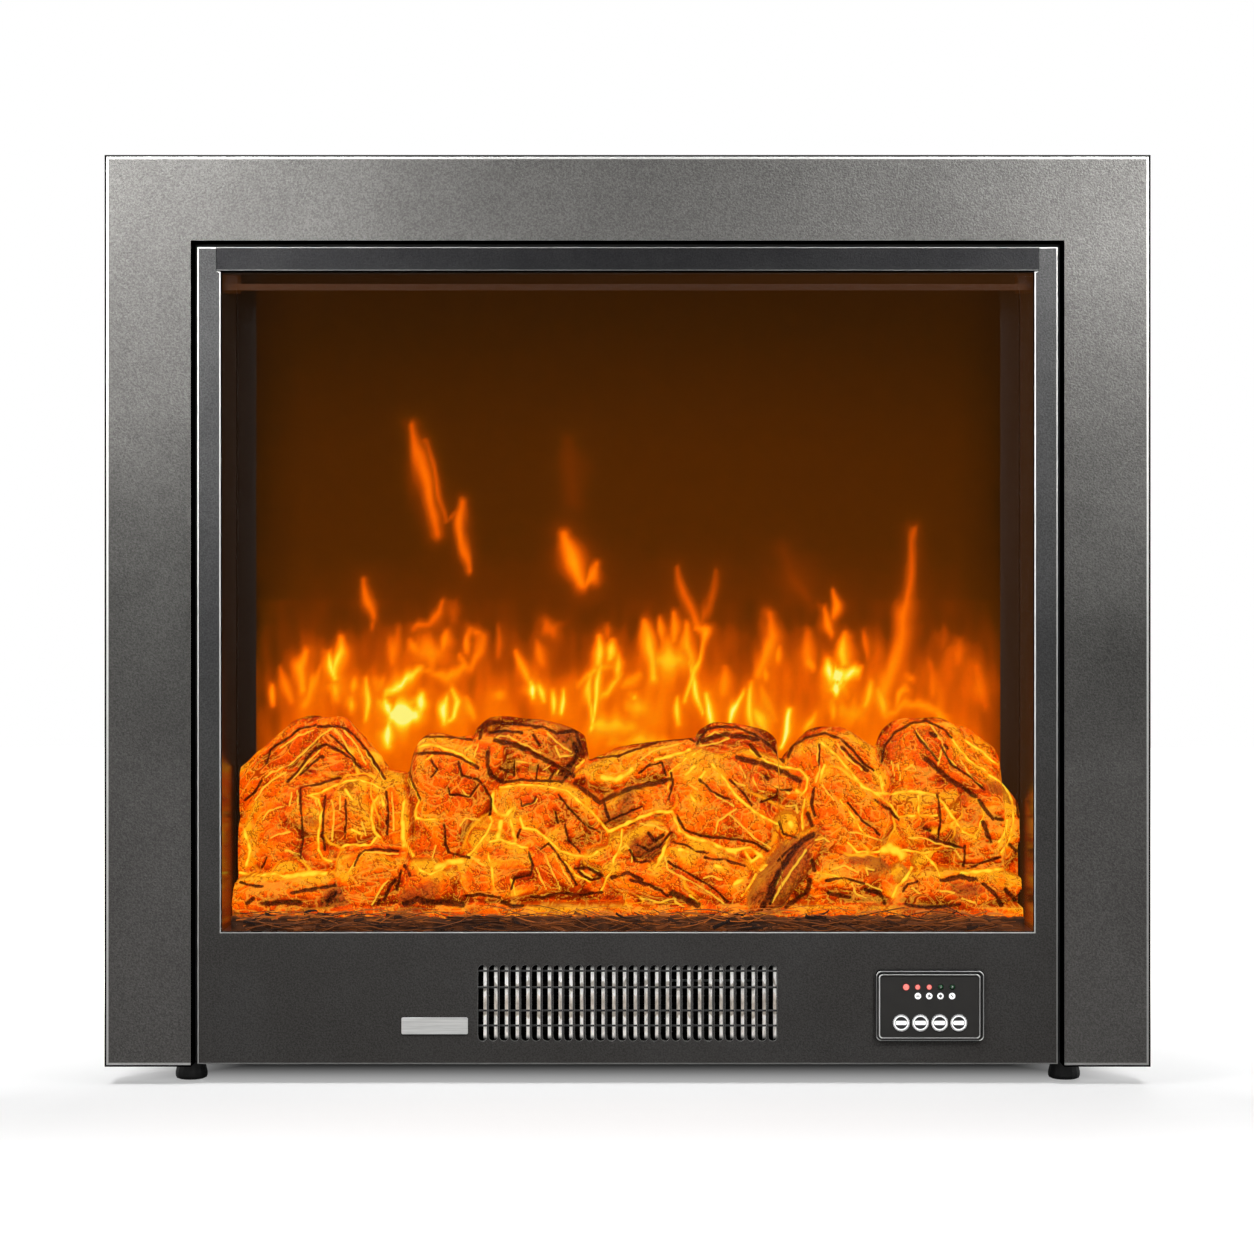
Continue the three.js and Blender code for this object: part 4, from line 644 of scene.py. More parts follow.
        (3.4, 980, 801, 986, 810, 993, 819), (3.6, 984, 822, 988, 835, 991, 842),
        (2.6, 1003, 820, 996, 818), (2, 968, 869, 985, 862, 1000, 858), (2.2, 925, 829, 930, 831),
        (2.2, 930, 838, 945, 843, 962, 848), (2, 965, 846, 964, 866), (4.4, 942, 881, 960, 877, 976, 880),
        (2, 903, 892, 908, 885, 918, 882), (3.4, 984, 884, 995, 894, 1002, 905), (4, 1006, 890, 1015, 900),
        (3.4, 865, 890, 880, 893, 885, 903), (3.4, 828, 893, 850, 898), (2, 826, 881, 845, 878, 864, 884),
        (2.6, 905, 905, 930, 908, 960, 905), (1.8, 245, 800, 255, 792, 262, 780), (1.5, 262, 868, 266, 858),
        (1.6, 1010, 786, 1017, 800, 1019, 818), (1.4, 820, 745, 819, 765),
        (1.5, 848, 803, 862, 820, 880, 835), (1.6, 938, 795, 941, 820, 938, 840),
        (2, 458, 762, 462, 776, 478, 780), (1.3, 430, 760, 438, 770, 431, 777), (3, 1010, 845, 1016, 851)],
    "ridge": [  # sharp edges that catch the light
        (1.3, 266, 777, 272, 772, 290, 765, 305, 751, 320, 736, 332, 728),
        (1.3, 334, 728, 342, 738, 350, 752, 354, 765), (1.3, 366, 752, 372, 762, 384, 780),
        (1.2, 280, 748, 298, 736, 314, 730), (1.2, 294, 778, 306, 764, 320, 750),
        (1.2, 344, 730, 358, 748, 366, 764), (1.2, 255, 800, 262, 790, 272, 780, 286, 772),
        (1.1, 262, 820, 270, 810, 284, 806), (1.1, 292, 792, 290, 806), (1.1, 297, 790, 298, 806),
        (1.2, 270, 838, 280, 834, 290, 832), (1.1, 286, 850, 300, 855, 306, 862), (1.3, 316, 800, 318, 815),
        (1.3, 332, 800, 334, 815, 332, 840), (1.2, 340, 795, 340, 810), (1.1, 362, 822, 366, 836),
        (1.2, 353, 868, 357, 859, 364, 852, 380, 853, 398, 854), (1.2, 392, 793, 394, 830),
        (1.2, 385, 797, 380, 803), (1.2, 372, 905, 380, 890, 388, 880), (1.1, 440, 870, 432, 858, 436, 845),
        (1.2, 402, 754, 412, 747, 424, 740), (1.2, 465, 752, 472, 745, 478, 745, 474, 757),
        (1.1, 462, 790, 470, 798), (1.1, 480, 820, 466, 818, 460, 826), (1.4, 508, 736, 525, 745, 540, 753),
        (1.6, 547, 733, 560, 745, 571, 752), (1.2, 555, 746, 560, 757, 573, 755),
        (1.2, 494, 739, 500, 735, 508, 738), (1.1, 516, 761, 532, 763), (1.1, 543, 770, 550, 765),
        (1.1, 560, 768, 556, 775), (1.2, 524, 806, 534, 803, 537, 799), (1.1, 480, 860, 470, 857, 486, 867),
        (1.1, 545, 856, 560, 889), (1.1, 553, 853, 573, 886), (1.1, 536, 868, 546, 889),
        (1.2, 588, 866, 598, 872), (1.1, 580, 870, 592, 878), (1.2, 620, 850, 626, 845, 632, 852, 632, 862),
        (1.3, 640, 824, 655, 826, 668, 832), (1.2, 640, 760, 655, 750, 680, 744),
        (1.2, 705, 739, 715, 732, 729, 738, 716, 744, 700, 746),
        (1.2, 715, 833, 718, 821, 728, 815, 736, 809), (1.2, 730, 815, 745, 829, 758, 841, 770, 848),
        (1.2, 703, 784, 716, 796, 734, 806), (1.1, 690, 785, 698, 790), (1.1, 740, 766, 746, 778),
        (1.1, 752, 776, 758, 790, 764, 792), (1.1, 735, 782, 745, 786), (1.2, 775, 786, 790, 793),
        (1.3, 786, 806, 796, 806, 798, 813), (1.3, 820, 742, 817, 755, 820, 770, 816, 782),
        (1.3, 822, 785, 830, 796, 834, 800), (1.4, 850, 832, 866, 835, 882, 841),
        (1.3, 838, 744, 846, 757, 862, 770), (2, 806, 850, 798, 862, 790, 873, 780, 888, 772, 902),
        (1.4, 782, 872, 776, 885), (1.3, 816, 840, 824, 838, 829, 842),
        (1.2, 665, 856, 668, 870, 690, 881, 710, 893, 724, 903), (1.2, 640, 898, 660, 902, 676, 898),
        (1.2, 672, 892, 676, 902, 684, 907), (1.2, 704, 878, 712, 876, 722, 880),
        (1.2, 916, 730, 926, 745, 939, 762), (1.4, 931, 725, 941, 741, 946, 756, 956, 766),
        (1.2, 938, 765, 942, 750), (1.1, 905, 770, 912, 764, 916, 770), (1.1, 892, 762, 894, 776),
        (1.1, 898, 764, 900, 780), (1.2, 908, 838, 925, 838, 945, 846, 960, 848), (1.1, 955, 850, 962, 860),
        (1.2, 920, 795, 935, 796), (1.2, 960, 760, 972, 778, 982, 786), (1.2, 852, 884, 856, 894, 866, 898),
        (1.2, 856, 884, 868, 884, 882, 891), (1.2, 868, 875, 866, 868, 874, 870), (1.3, 912, 888, 920, 894),
        (1.2, 940, 890, 955, 893), (1.2, 962, 898, 975, 903), (1.3, 830, 870, 845, 866, 858, 872)],
}
logRows = []
for name, x, z, length, thick, tilt, front, square, groove, plate, char in logForms:
    deep = min(0.5 * thick, 26.0)
    logRows.append((x, front + deep, z, 0.55 * length, deep, 0.55 * thick, math.radians(tilt), square, groove,
                    plate, char))
dice = random.Random(5)
for number in range(logBed["chips"]):  # small lumps of ember that fill the gaps between the logs
    size = dice.uniform(6, 13)
    logRows.append((-275 + 550 * (number + dice.random()) / logBed["chips"], -61 + size + dice.uniform(0, 14),
                    118 + dice.random() * 74, size * dice.uniform(1, 1.7), size, size * 0.8,
                    dice.uniform(-0.9, 0.9), 3.0, dice.random(), dice.random(), dice.uniform(0, 0.55)))
logTable = np.array(logRows)
logTable[:, :6] *= mm
formNames = [entry[0] for entry in logForms]
isMainBed = np.array([name.startswith("bed") for name in formNames] + [False] * logBed["chips"])
chunkCuts, chunkWaves = [], []
waveSizes = ((1.6, 0.05), (2.6, 0.04), (4.5, 0.025), (7.0, 0.018), (11.0, 0.01))  # how fine, how high
for index in range(len(logTable)):
    cuts = []
    for _ in range(9):
        facing = Vector((dice.gauss(0, 1), -abs(dice.gauss(0, 0.9)), dice.gauss(0, 1))).normalized()
        cuts.append((*facing, dice.uniform(0.84, 1.06)))
    chunkCuts.append(np.array(cuts))
    chunkWaves.append([(np.array([dice.gauss(0, fine) for _ in range(3)]), dice.uniform(0, math.tau), high)
                       for fine, high in waveSizes])


def chunkRadius(ways, index):  # how far a broken chunk of wood reaches in each direction from its middle
    square = logTable[index, 7]
    radius = (np.abs(ways) ** square).sum(1) ** (-1 / square)
    if isMainBed[index]:
        return radius
    for cut in chunkCuts[index]:
        lean = ways @ cut[:3]
        radius = np.where(lean > 0.05, np.minimum(radius, cut[3] / np.maximum(lean, 0.05)), radius)
    for rate, phase, size in chunkWaves[index]:
        radius = radius * (1 + size * np.sin(ways @ rate + phase))
    return radius


ball = bmesh.new()
bmesh.ops.create_uvsphere(ball, u_segments=44, v_segments=30, radius=1.0)
ballMesh = bpy.data.meshes.new("ball")
ball.to_mesh(ballMesh)
ways = np.array([vert.co.normalized()[:] for vert in ball.verts])
ball.free()
form = bmesh.new()
places = []
for index, (x, y, z, long, deep, high, tilt, *marks) in enumerate(logTable):
    form.from_mesh(ballMesh)
    u, v, w = (ways * (long, deep, high) * chunkRadius(ways, index)[:, None]).T
    along, up = u * math.cos(tilt) - w * math.sin(tilt), u * math.sin(tilt) + w * math.cos(tilt)
    places.append(np.stack((x + along, y + v, z + up), 1))
for vert, place in zip(form.verts, np.concatenate(places)):
    vert.co = place
blockMesh = bpy.data.meshes.new("logBlocks")
form.to_mesh(blockMesh)
form.free()
blocks = bpy.data.objects.new("logBlocks", blockMesh)
scene.collection.objects.link(blocks)
union = blocks.modifiers.new("union", "REMESH")
union.mode = "VOXEL"
union.voxel_size = logBed["voxel"]
merged = bpy.data.meshes.new_from_object(blocks.evaluated_get(bpy.context.evaluated_depsgraph_get()))
bpy.data.objects.remove(blocks)
form = bmesh.new()
form.from_mesh(merged)

tree = BVHTree.FromBMesh(form)
form.free()


def skinAt(x, z):  # where the logs' skin lies, looked at from the front
    return tree.ray_cast(Vector((x, -0.2, z)), Vector((0, 1, 0)))[0]


columns, rows = logBed["columns"], logBed["rows"]
acrossBed = np.linspace(-logBed["side"], logBed["side"], columns + 1)
spots = np.empty((columns + 1, rows + 1, 3))
for column, x in enumerate(acrossBed):
    crest = logBed["foot"] + 50 * mm
    while skinAt(x, crest + 1.5 * mm):
        crest += 1.5 * mm
    for half in (0.75, 0.38, 0.19):
        crest += half * mm if skinAt(x, crest + half * mm) else 0
    for row, share in enumerate(np.linspace(0, 0.998, rows + 1)):
        z = logBed["foot"] + (crest - logBed["foot"]) * share
        hit = skinAt(x, z)
        spots[column, row] = (x, min(max(hit.y if hit else 0, logBed["front"]), logBed["back"] - 1 * mm), z)
depths = spots[:, :, 1]
aroundEach = depths[:-2, 1:-1] + depths[2:, 1:-1] + depths[1:-1, :-2] + depths[1:-1, 2:]
depths[1:-1, 1:-1] = 0.5 * depths[1:-1, 1:-1] + 0.125 * aroundEach
blurred = depths.copy()
blurReach = 7  # points of the grid
for side, length in ((0, columns + 1), (1, rows + 1)):  # the mean depth of each point's surroundings
    shifts = range(-blurReach, blurReach + 1)
    shifted = [np.clip(np.arange(length) + shift, 0, length - 1) for shift in shifts]
    blurred = sum(np.take(blurred, order, side) for order in shifted) / len(shifted)
# painted shade: points deeper than their surroundings get darker
cavity = np.clip((depths - blurred) / (2.2 * mm), -1, 1).reshape(-1)
slopes = np.cross(np.gradient(spots, axis=0), np.gradient(spots, axis=1))
normals = (slopes / np.linalg.norm(slopes, axis=2)[:, :, None]).reshape(-1, 3)
normals *= -np.sign(normals[:, 1:2])
spots = spots.reshape(-1, 3)
count = len(spots)


def logDistance(spots):  # how far each point is from each log's skin, and its place along the log
    away = np.empty((len(logTable), len(spots)))
    local = np.empty((len(logTable), len(spots), 3))
    for index, (x, y, z, long, deep, high, tilt, *marks) in enumerate(logTable):
        dx, dy, dz = spots[:, 0] - x, spots[:, 1] - y, spots[:, 2] - z
        u = dx * math.cos(tilt) + dz * math.sin(tilt)
        w = -dx * math.sin(tilt) + dz * math.cos(tilt)
        ways = np.stack((u / long, dy / deep, w / high), 1)
        reach = np.linalg.norm(ways, axis=1) + 1e-9
        away[index] = (reach / chunkRadius(ways / reach[:, None], index) - 1) * min(long, deep, high)
        local[index] = np.stack((u, dy, w), 1)
    return away, local


away, local = logDistance(spots)
order = np.argsort(away, axis=0)[:2]
nearest = order[0]
each = np.arange(count)
gap = away[order[1], each] - away[nearest, each]
isBed = isMainBed[nearest]
patchy = np.array([noise.noise(Vector(spot) * 24) for spot in spots])
glow = np.exp(-(gap / logBed["crevice"]) ** 2) * np.clip(0.3 + patchy * 0.9, 0, 0.7)
glow = np.maximum(glow, isBed * np.clip(0.2 + patchy * 0.8, 0, 0.6))
glow[nearest == formNames.index("bedFoot")] *= 0.25
# painted shade: the skin darkens where it turns away from the front
rim = np.clip(1 - np.abs(normals[:, 1]) * 1.25, 0, 1)
crack = np.zeros(count)
char = np.zeros(count)
push = np.zeros(count)
vein = np.zeros(count)
inset = np.clip((logBed["back"] - 1 * mm - spots[:, 1]) / (4 * mm), 0, 1)
free = inset * np.clip((spots[:, 2] - logBed["foot"]) / (3 * mm), 0, 1)  # 0 where the skin stays in place


def wavy(*place):  # smooth noise at a place
    return noise.noise(Vector(place))


for index in np.nonzero(free)[0]:
    owner = nearest[index]
    groove, plate, dark = logTable[owner, 8:]
    u, v, w = local[owner, index]
    seed = owner * 0.37
    bend = wavy(u * 30, w * 30, seed) * 0.9
    lengthwise = wavy(u * 20, v * 105 + bend, w * 105 + seed + bend)
    lengthwise += 0.4 * wavy(u * 55 + seed, v * 260, w * 260)
    swirl = noise.noise_vector(Vector((u, v, w)) * 70 + Vector((seed, 0, 0))) * 0.8
    far, _ = noise.voronoi(Vector((u * 62 + seed, v * 80, w * 95)) + swirl)
    seam = max(0.0, 1 - (far[1] - far[0]) / 0.13) * plate
    furrow = max(0.0, 1 - abs(lengthwise) / 0.12) * groove
    broad = wavy(u * 45, v * 45, w * 45 + seed)
    push[index] = 1.5 * broad - 1.7 * seam - 1.5 * furrow + 1.2 * lengthwise * groove
    crack[index] = min(1.0, max(seam, furrow * 0.9))
    vein[index] = 0.5 + 0.5 * lengthwise * (0.4 + 0.6 * min(groove, 1.0)) + 0.25 * broad
    cloud = wavy(u * 26 + seed * 3, v * 26, w * 34) + 0.4 * wavy(u * 90, v * 90, w * 90 + seed)
    char[index] = min(1.0, max(0.0, (cloud + dark * 1.2 - 0.75) * 2.4))

photo = {"eye": (644, 615), "pitch": 0.73, "frontPlane": -95, "away": 2000}  # pixels, mm a pixel, mm, mm


def photoPlaces(spots, depth):  # where points stand in the photograph's frame, in its pixels
    pitch = photo["pitch"] * (1 + (depth / mm - photo["frontPlane"]) / photo["away"])
    eyeX, _, eyeZ = view["place"]
    return (photo["eye"][0] + (spots[:, 0] - eyeX) / mm / pitch,
            photo["eye"][1] - (spots[:, 2] - eyeZ) / mm / pitch)


def drift(px, py, wide, tall, seed):  # a smooth random shift at each point, over so many pixels
    return np.array([wavy(x / wide, y / tall, seed) for x, y in zip(px, py)])


def toStroke(px, py, start, end):  # how far points lie from a straight stroke, and how far along it
    (x0, y0), (x1, y1) = start, end
    dx, dy = x1 - x0, y1 - y0
    t = np.clip(((px - x0) * dx + (py - y0) * dy) / (dx * dx + dy * dy), 0, 1)
    return np.hypot(px - x0 - t * dx, py - y0 - t * dy), t


px, py = photoPlaces(spots, spots[:, 1])
sway = drift(px, py, 7, 7, 2.0)
px, py = px + sway * 1.1, py + drift(px, py, 7, 7, 9.0) * 1.1
drawn = {}
margin = 25  # pixels around a stroke that it can reach
for kind, strokes in logStrokes.items():
    drawn[kind], drawn[kind + "Near"] = np.zeros(count), np.zeros(count)
    for width, *flat in strokes:
        corners = list(zip(flat[::2], flat[1::2]))
        for (x0, y0), (x1, y1) in zip(corners, corners[1:]):
            inX = (px > min(x0, x1) - margin) & (px < max(x0, x1) + margin)
            inY = (py > min(y0, y1) - margin) & (py < max(y0, y1) + margin)
            close = np.nonzero(inX & inY)[0]
            off, _ = toStroke(px[close], py[close], (x0, y0), (x1, y1))
            core = np.exp(-(off / (width * 0.52 + 0.45)) ** 2) * (0.9 + 0.5 * sway[close])
            halo = np.exp(-(off / (width * 1.6 + 3.5)) ** 2)
            drawn[kind][close] = np.maximum(drawn[kind][close], core)
            drawn[kind + "Near"][close] = np.maximum(drawn[kind + "Near"][close], halo)
lip = np.clip((spots[:, 2] - 112 * mm) / (6 * mm), 0, 1)
glow = np.maximum(glow * (1 - drawn["dark"]), drawn["hot"]) * lip
push += 1.2 * drawn["ridge"] - 1.8 * drawn["hot"] - 1.6 * drawn["dark"]
push -= 1.0 * drawn["hotNear"] + 0.7 * drawn["darkNear"]
moved = spots.copy()
moved[:, 1] -= push * mm * free
moved[:, 1] = np.clip(moved[:, 1], logBed["front"], logBed["back"] - 0.5 * mm)
skin = moved.reshape(columns + 1, rows + 1, 3)
rising = np.gradient(skin[:, :, 1], axis=1) / np.maximum(np.gradient(skin[:, :, 2], axis=1), 1e-6)
turning = np.gradient(skin[:, :, 1], axis=0) / np.gradient(skin[:, :, 0], axis=0)
lean = np.clip(0.6 * rising - 0.4 * turning, -1, 1).reshape(-1)  # how far the skin faces the upper left, for painted light and shade
form = bmesh.new()
bmesh.ops.create_grid(form, x_segments=columns, y_segments=rows, size=1.0)
form.verts.ensure_lookup_table()
orders = np.array([round((vert.co.x + 1) / 2 * columns) * (rows + 1) + round((vert.co.y + 1) / 2 * rows)
                   for vert in form.verts])
for vert, place in zip(form.verts, moved[orders]):
    vert.co = place
skirt = bmesh.ops.extrude_edge_only(form, edges=[edge for edge in form.edges if edge.is_boundary])["geom"]
for part in skirt:
    if isinstance(part, bmesh.types.BMVert):
        part.co.y = logBed["back"]
bmesh.ops.holes_fill(form, edges=[edge for edge in form.edges if edge.is_boundary], sides=0)
bmesh.ops.recalc_face_normals(form, faces=form.faces)

resin = Finish("glowingResin", Specular_IOR_Level=0.02)
glowMask, crackMask, charMask = resin.stored("glow"), resin.stored("crack"), resin.stored("char")
paintedLeanLight, sharp = resin.stored("lean"), resin.stored("ridge")
speck = resin.grain(430, 3.0, 0.7)
pits = resin.cells(240, 0.002)
crumb = resin.grain(1100, 2.0, 0.6)
tone = resin.grain(30, 4.0, 0.6) * 0.5 + resin.stored("vein") * 0.5
wander = resin.grain(78, 4.0, 0.62)
beside = resin.grain(78, 4.0, 0.62, move=(0.0007, 0.0, 0.0009))
split = 1 - resin.maths("ABSOLUTE", wander - 0.5).between(0.006, 0.03)
glint = (1 - resin.maths("ABSOLUTE", beside - 0.5).between(0.004, 0.022)) * (1 - split)
fineSplit = 1 - resin.maths("ABSOLUTE", resin.grain(230, 3.0, 0.6) - 0.5).between(0.01, 0.045)
# painted light near hot crevices and on faces toward the upper left; painted shade in cavities and around the
# dark strokes
warmth = tone * 0.8 + (speck - 0.5) * 0.5 + (crumb - 0.5) * 0.35 + resin.stored("near") * 0.26
warmth = warmth - resin.stored("soot") * 0.2 - resin.stored("cavity") * 0.22 + paintedLeanLight * 0.22 + 0.09
body = resin.ramp(warmth, (0.1, "5a1000"), (0.26, "b42c00"), (0.42, "ee4a00"), (0.56, "ff6200"),
                  (0.72, "ff7e04"), (0.9, "ffa814"))
layers = [
    # how much of the layer shows, and its colour, each over the one before
    ((crumb * 0.5 + speck * 0.5).between(0.58, 0.66) * 0.35, "ffa810"),
    ((0 - paintedLeanLight).between(0.35, 1.0) * 0.5, "821e00"),
    (pits.between(0.24, 0.1) * 0.4, "b42e00"),
    (fineSplit * 0.3, "a02a00"),
    (glint * 0.5, "ffb420"),
    (split * 0.66, "7a1800"),
    (resin.stored("rim").between(0.3, 0.95) * 0.6, "9c2800"),
    (crackMask.between(0.1, 0.4) * (1 - crackMask.between(0.45, 0.7)) * 0.45, "ffb030"),
    (crackMask.between(0.5, 0.85) * 0.7, "8a2400"),
]
for share, code in layers:
    body = resin.mix(share, body, shade(code))
ember = resin.mix((speck + paintedLeanLight * 0.12).between(0.35, 0.6), shade("3a1204"), shade("a84a12"))
body = resin.mix(charMask * 0.78, body, ember)
hot = resin.mix((glowMask + (crumb - 0.5) * 0.3).between(0.45, 1.0), shade("ff9608"), shade("ffdc34"))
body = resin.mix((glowMask + (crumb - 0.5) * 0.35).between(0.26, 0.66) * 0.96, body, hot)
body = resin.mix(sharp.between(0.25, 0.7) * 0.85, body, shade("ffc030"))
ragged = resin.stored("dark") + (crumb - 0.5) * 0.7 + (speck - 0.5) * 0.5
burnt = resin.mix(speck.between(0.45, 0.62), shade("200802"), shade("5e2006"))
body = resin.mix(ragged.between(0.22, 0.6) * 0.95, body, burnt)
resin.put(Base_Color=resin.mix(charMask, shade("3a1002"), shade("1c0e08")), Emission_Color=body,
          Emission_Strength=1.1, Roughness=0.45 + 0.2 * speck)
resin.bump(speck * 0.6 + crumb * 0.4 - split * 0.8 + glint * 0.4, 0.6, 0.0012)

bed = makePiece("logBedShell", form, resin, "casing", ("log_bed",), smooth=True)
skirtVerts = len(bed.data.vertices) - count
marks = {
    "glow": glow, "crack": crack, "char": char, "vein": vein, "rim": rim, "near": drawn["hotNear"],
    "soot": drawn["darkNear"], "ridge": drawn["ridge"] * (1 - drawn["hot"] * 0.6), "dark": drawn["dark"],
    "cavity": cavity, "lean": lean,
}
for name, values in marks.items():
    filled = np.concatenate((values[orders], np.zeros(skirtVerts))).astype(np.float32)
    bed.data.attributes.new(name, "FLOAT", "POINT").data.foreach_set("value", filled)
print("log bed:", len(bed.data.polygons), "faces")

# flame screen: the projected fire
screenLook = {
    "columns": 390, "rows": 165,
    "left": 256, "right": 1001, "fade": 46,  # where the picture ends, and how far it fades, in photo pixels
    "middle": 650, "half": 390, "upper": 600,  # above this height the glow also falls off to the sides
}
# Each stroke of flame: width, heat, then its points as they stand in the photograph's frame.
flameStrokes = [
    (6.5, 0.55, (413, 425), (423, 480), (438, 535)),
    (3.0, 0.45, (425, 440), (445, 520)),
    (4.0, 0.55, (462, 500), (461, 530), (466, 572)),
    (10.0, 0.12, (570, 440), (572, 500)),
    (2.5, 0.40, (446, 520), (463, 512)),
    (3.9, 0.50, (367, 581), (369, 600), (373, 618)),
    (1.7, 0.35, (372, 623), (372, 630)),
    (8.3, 0.72, (566, 534), (573, 562), (584, 584)),
    (4.4, 0.60, (598, 564), (594, 578), (586, 588)),
    (3.3, 0.42, (416, 628), (432, 622), (442, 612), (446, 602)),
    (3.9, 0.25, (454, 600), (455, 620)),
    (12.8, 0.50, (424, 652), (436, 652)),
    (3.9, 0.50, (412, 642), (418, 652)),
    (3.9, 0.50, (449, 632), (445, 650)),
    (3.9, 0.85, (419, 668), (401, 684), (385, 693)),
    (3.3, 0.50, (424, 671), (446, 677), (467, 668)),
    (2.5, 0.42, (467, 641), (472, 628), (481, 634), (480, 652), (468, 668), (459, 656)),
    (2.2, 0.50, (468, 635), (468, 652)),
    (11.1, 1.15, (393, 715), (411, 714)),
    (5.0, 0.95, (383, 701), (388, 714)),
    (4.4, 0.90, (420, 695), (417, 711)),
    (4.4, 0.90, (388, 723), (388, 745)),
    (2.8, 0.60, (376, 700), (383, 711)),
    (3.3, 0.55, (399, 700), (408, 705), (417, 696)),
    (4.4, 0.85, (445, 696), (442, 709), (444, 723)),
    (2.2, 0.75, (452, 689), (458, 703), (455, 716), (446, 723)),
    (4.2, 0.60, (306, 652), (297, 667), (302, 689)),
    (3.9, 0.85, (328, 653), (331, 664), (338, 678)),
    (3.9, 0.75, (340, 638), (343, 652), (338, 667), (338, 678)),
    (3.3, 0.50, (331, 686), (337, 688), (336, 698)),
    (1.9, 0.70, (365, 678), (367, 700), (366, 720)),
    (2.2, 0.60, (351, 700), (350, 711)),
    (1.9, 0.50, (356, 681), (354, 692)),
    (2.8, 0.60, (515, 653), (523, 670), (529, 684)),
    (4.4, 0.95, (530, 682), (533, 696)),
    (1.7, 0.75, (541, 685), (544, 700)),
    (1.7, 0.75, (553, 693), (555, 713)),
    (1.9, 0.85, (564, 691), (562, 714)),
    (2.8, 0.33, (539, 642), (544, 664)),
    (6.7, 0.35, (549, 623), (554, 634)),
    (3.6, 0.80, (599, 638), (600, 663)),
    (3.6, 0.80, (612, 641), (609, 660)),
    (2.8, 0.35, (606, 624), (607, 637)),
    (2.2, 0.50, (580, 684), (598, 670), (621, 662)),
    (1.4, 0.60, (594, 675), (589, 700), (595, 728)),
    (1.4, 0.75, (602, 666), (598, 700), (593, 731)),
    (1.9, 0.60, (620, 674), (603, 697)),
    (3.3, 0.45, (639, 675), (623, 685)),
    (2.5, 0.65, (632, 696), (634, 697)),
    (1.4, 0.65, (270, 684), (270, 703)),
    (1.9, 0.50, (465, 699), (473, 718)),
    (2.2, 0.45, (498, 695), (504, 695)),
    (2.8, 0.40, (277, 667), (290, 700)),
    (2.5, 0.40, (320, 667), (306, 706)),
    (3.3, 0.30, (399, 628), (396, 662)),
    (3.3, 0.30, (498, 628), (496, 656)),
    (8.3, 0.50, (598, 725), (632, 727)),
    (3.9, 0.40, (382, 678), (376, 689)),
    (3.7, 0.75, (616, 653), (616, 676)),
    (16.6, 0.72, (657, 660), (677, 660)),
    (5.2, 0.75, (645, 624), (647, 645), (655, 680)),
    (4.0, 0.60, (658, 620), (662, 640)),
    (4.0, 0.60, (674, 614), (675, 640)),
    (4.0, 0.65, (686, 624), (686, 648), (692, 671)),
    (3.4, 0.42, (677, 568), (685, 597), (696, 624), (703, 631)),
    (3.4, 0.30, (717, 572), (708, 605), (699, 627)),
    (4.0, 0.70, (696, 628), (705, 631), (703, 641)),
    (2.6, 0.75, (703, 641), (693, 668), (684, 701)),
    (2.3, 0.80, (685, 661), (694, 683), (702, 713)),
    (1.7, 0.70, (675, 697), (678, 724)),
    (2.6, 0.80, (709, 696), (711, 714), (713, 730)),
    (2.9, 0.35, (725, 668), (725, 693)),
    (2.0, 0.85, (743, 692), (733, 711), (730, 726)),
    (2.3, 0.65, (751, 683), (751, 729)),
    (6.3, 0.55, (758, 713), (765, 729)),
    (5.7, 0.50, (770, 614), (774, 637), (765, 657), (758, 674)),
    (2.0, 0.50, (766, 671), (767, 679)),
    (1.1, 0.45, (782, 649), (782, 662)),
    (2.3, 0.35, (762, 687), (774, 720)),
    (2.0, 0.95, (790, 711), (787, 732), (781, 747)),
    (1.7, 0.50, (815, 714), (808, 729)),
    (4.0, 0.62, (820, 607), (824, 624), (830, 634)),
    (3.2, 0.60, (833, 592), (838, 605), (832, 620)),
    (4.3, 0.70, (846, 636), (844, 652), (847, 663)),
    (8.6, 1.10, (837, 676), (843, 674)),
    (4.3, 0.90, (830, 662), (832, 680)),
    (4.0, 0.90, (856, 667), (845, 680)),
    (4.0, 1.00, (837, 683), (837, 694)),
    (2.9, 0.33, (864, 633), (867, 656)),
    (5.7, 0.45, (914, 528), (912, 588), (903, 631), (893, 666), (881, 694)),
    (2.9, 0.55, (872, 683), (866, 706)),
    (2.9, 0.55, (878, 689), (884, 713)),
    (2.3, 0.45, (886, 717), (898, 706), (914, 703), (934, 711), (944, 720)),
    (2.3, 0.50, (893, 706), (897, 694), (906, 690)),
    (2.9, 0.40, (909, 677), (911, 678)),
    (3.4, 0.25, (929, 663), (931, 694)),
    (2.9, 0.20, (943, 627), (942, 645)),
    (4.6, 0.22, (980, 668), (985, 706)),
    (9.8, 0.14, (782, 551), (811, 608)),
    (8.6, 0.60, (870, 756), (873, 763)),
    (2.6, 0.50, (831, 701), (832, 717)),
    (8.6, 0.45, (845, 711), (857, 713)),
    (2.9, 0.40, (952, 729), (966, 740)),
    (2.0, 0.50, (934, 710), (940, 723)),
    (1.7, 0.50, (811, 660), (812, 668)),
    (8.6, 0.50, (627, 706), (644, 707)),
    (5.7, 0.45, (610, 743), (662, 740)),
    (4.0, 0.35, (808, 631), (811, 666)),
    (5.7, 0.30, (957, 640), (959, 660)),
]
low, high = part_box("flame_screen")
form = bmesh.new()
bmesh.ops.create_grid(form, x_segments=screenLook["columns"], y_segments=screenLook["rows"], size=0.5)
bmesh.ops.scale(form, verts=form.verts, vec=(high.x - low.x, high.z - low.z, 1))
bmesh.ops.rotate(form, verts=form.verts, cent=(0, 0, 0), matrix=Matrix.Rotation(math.pi / 2, 3, "X"))
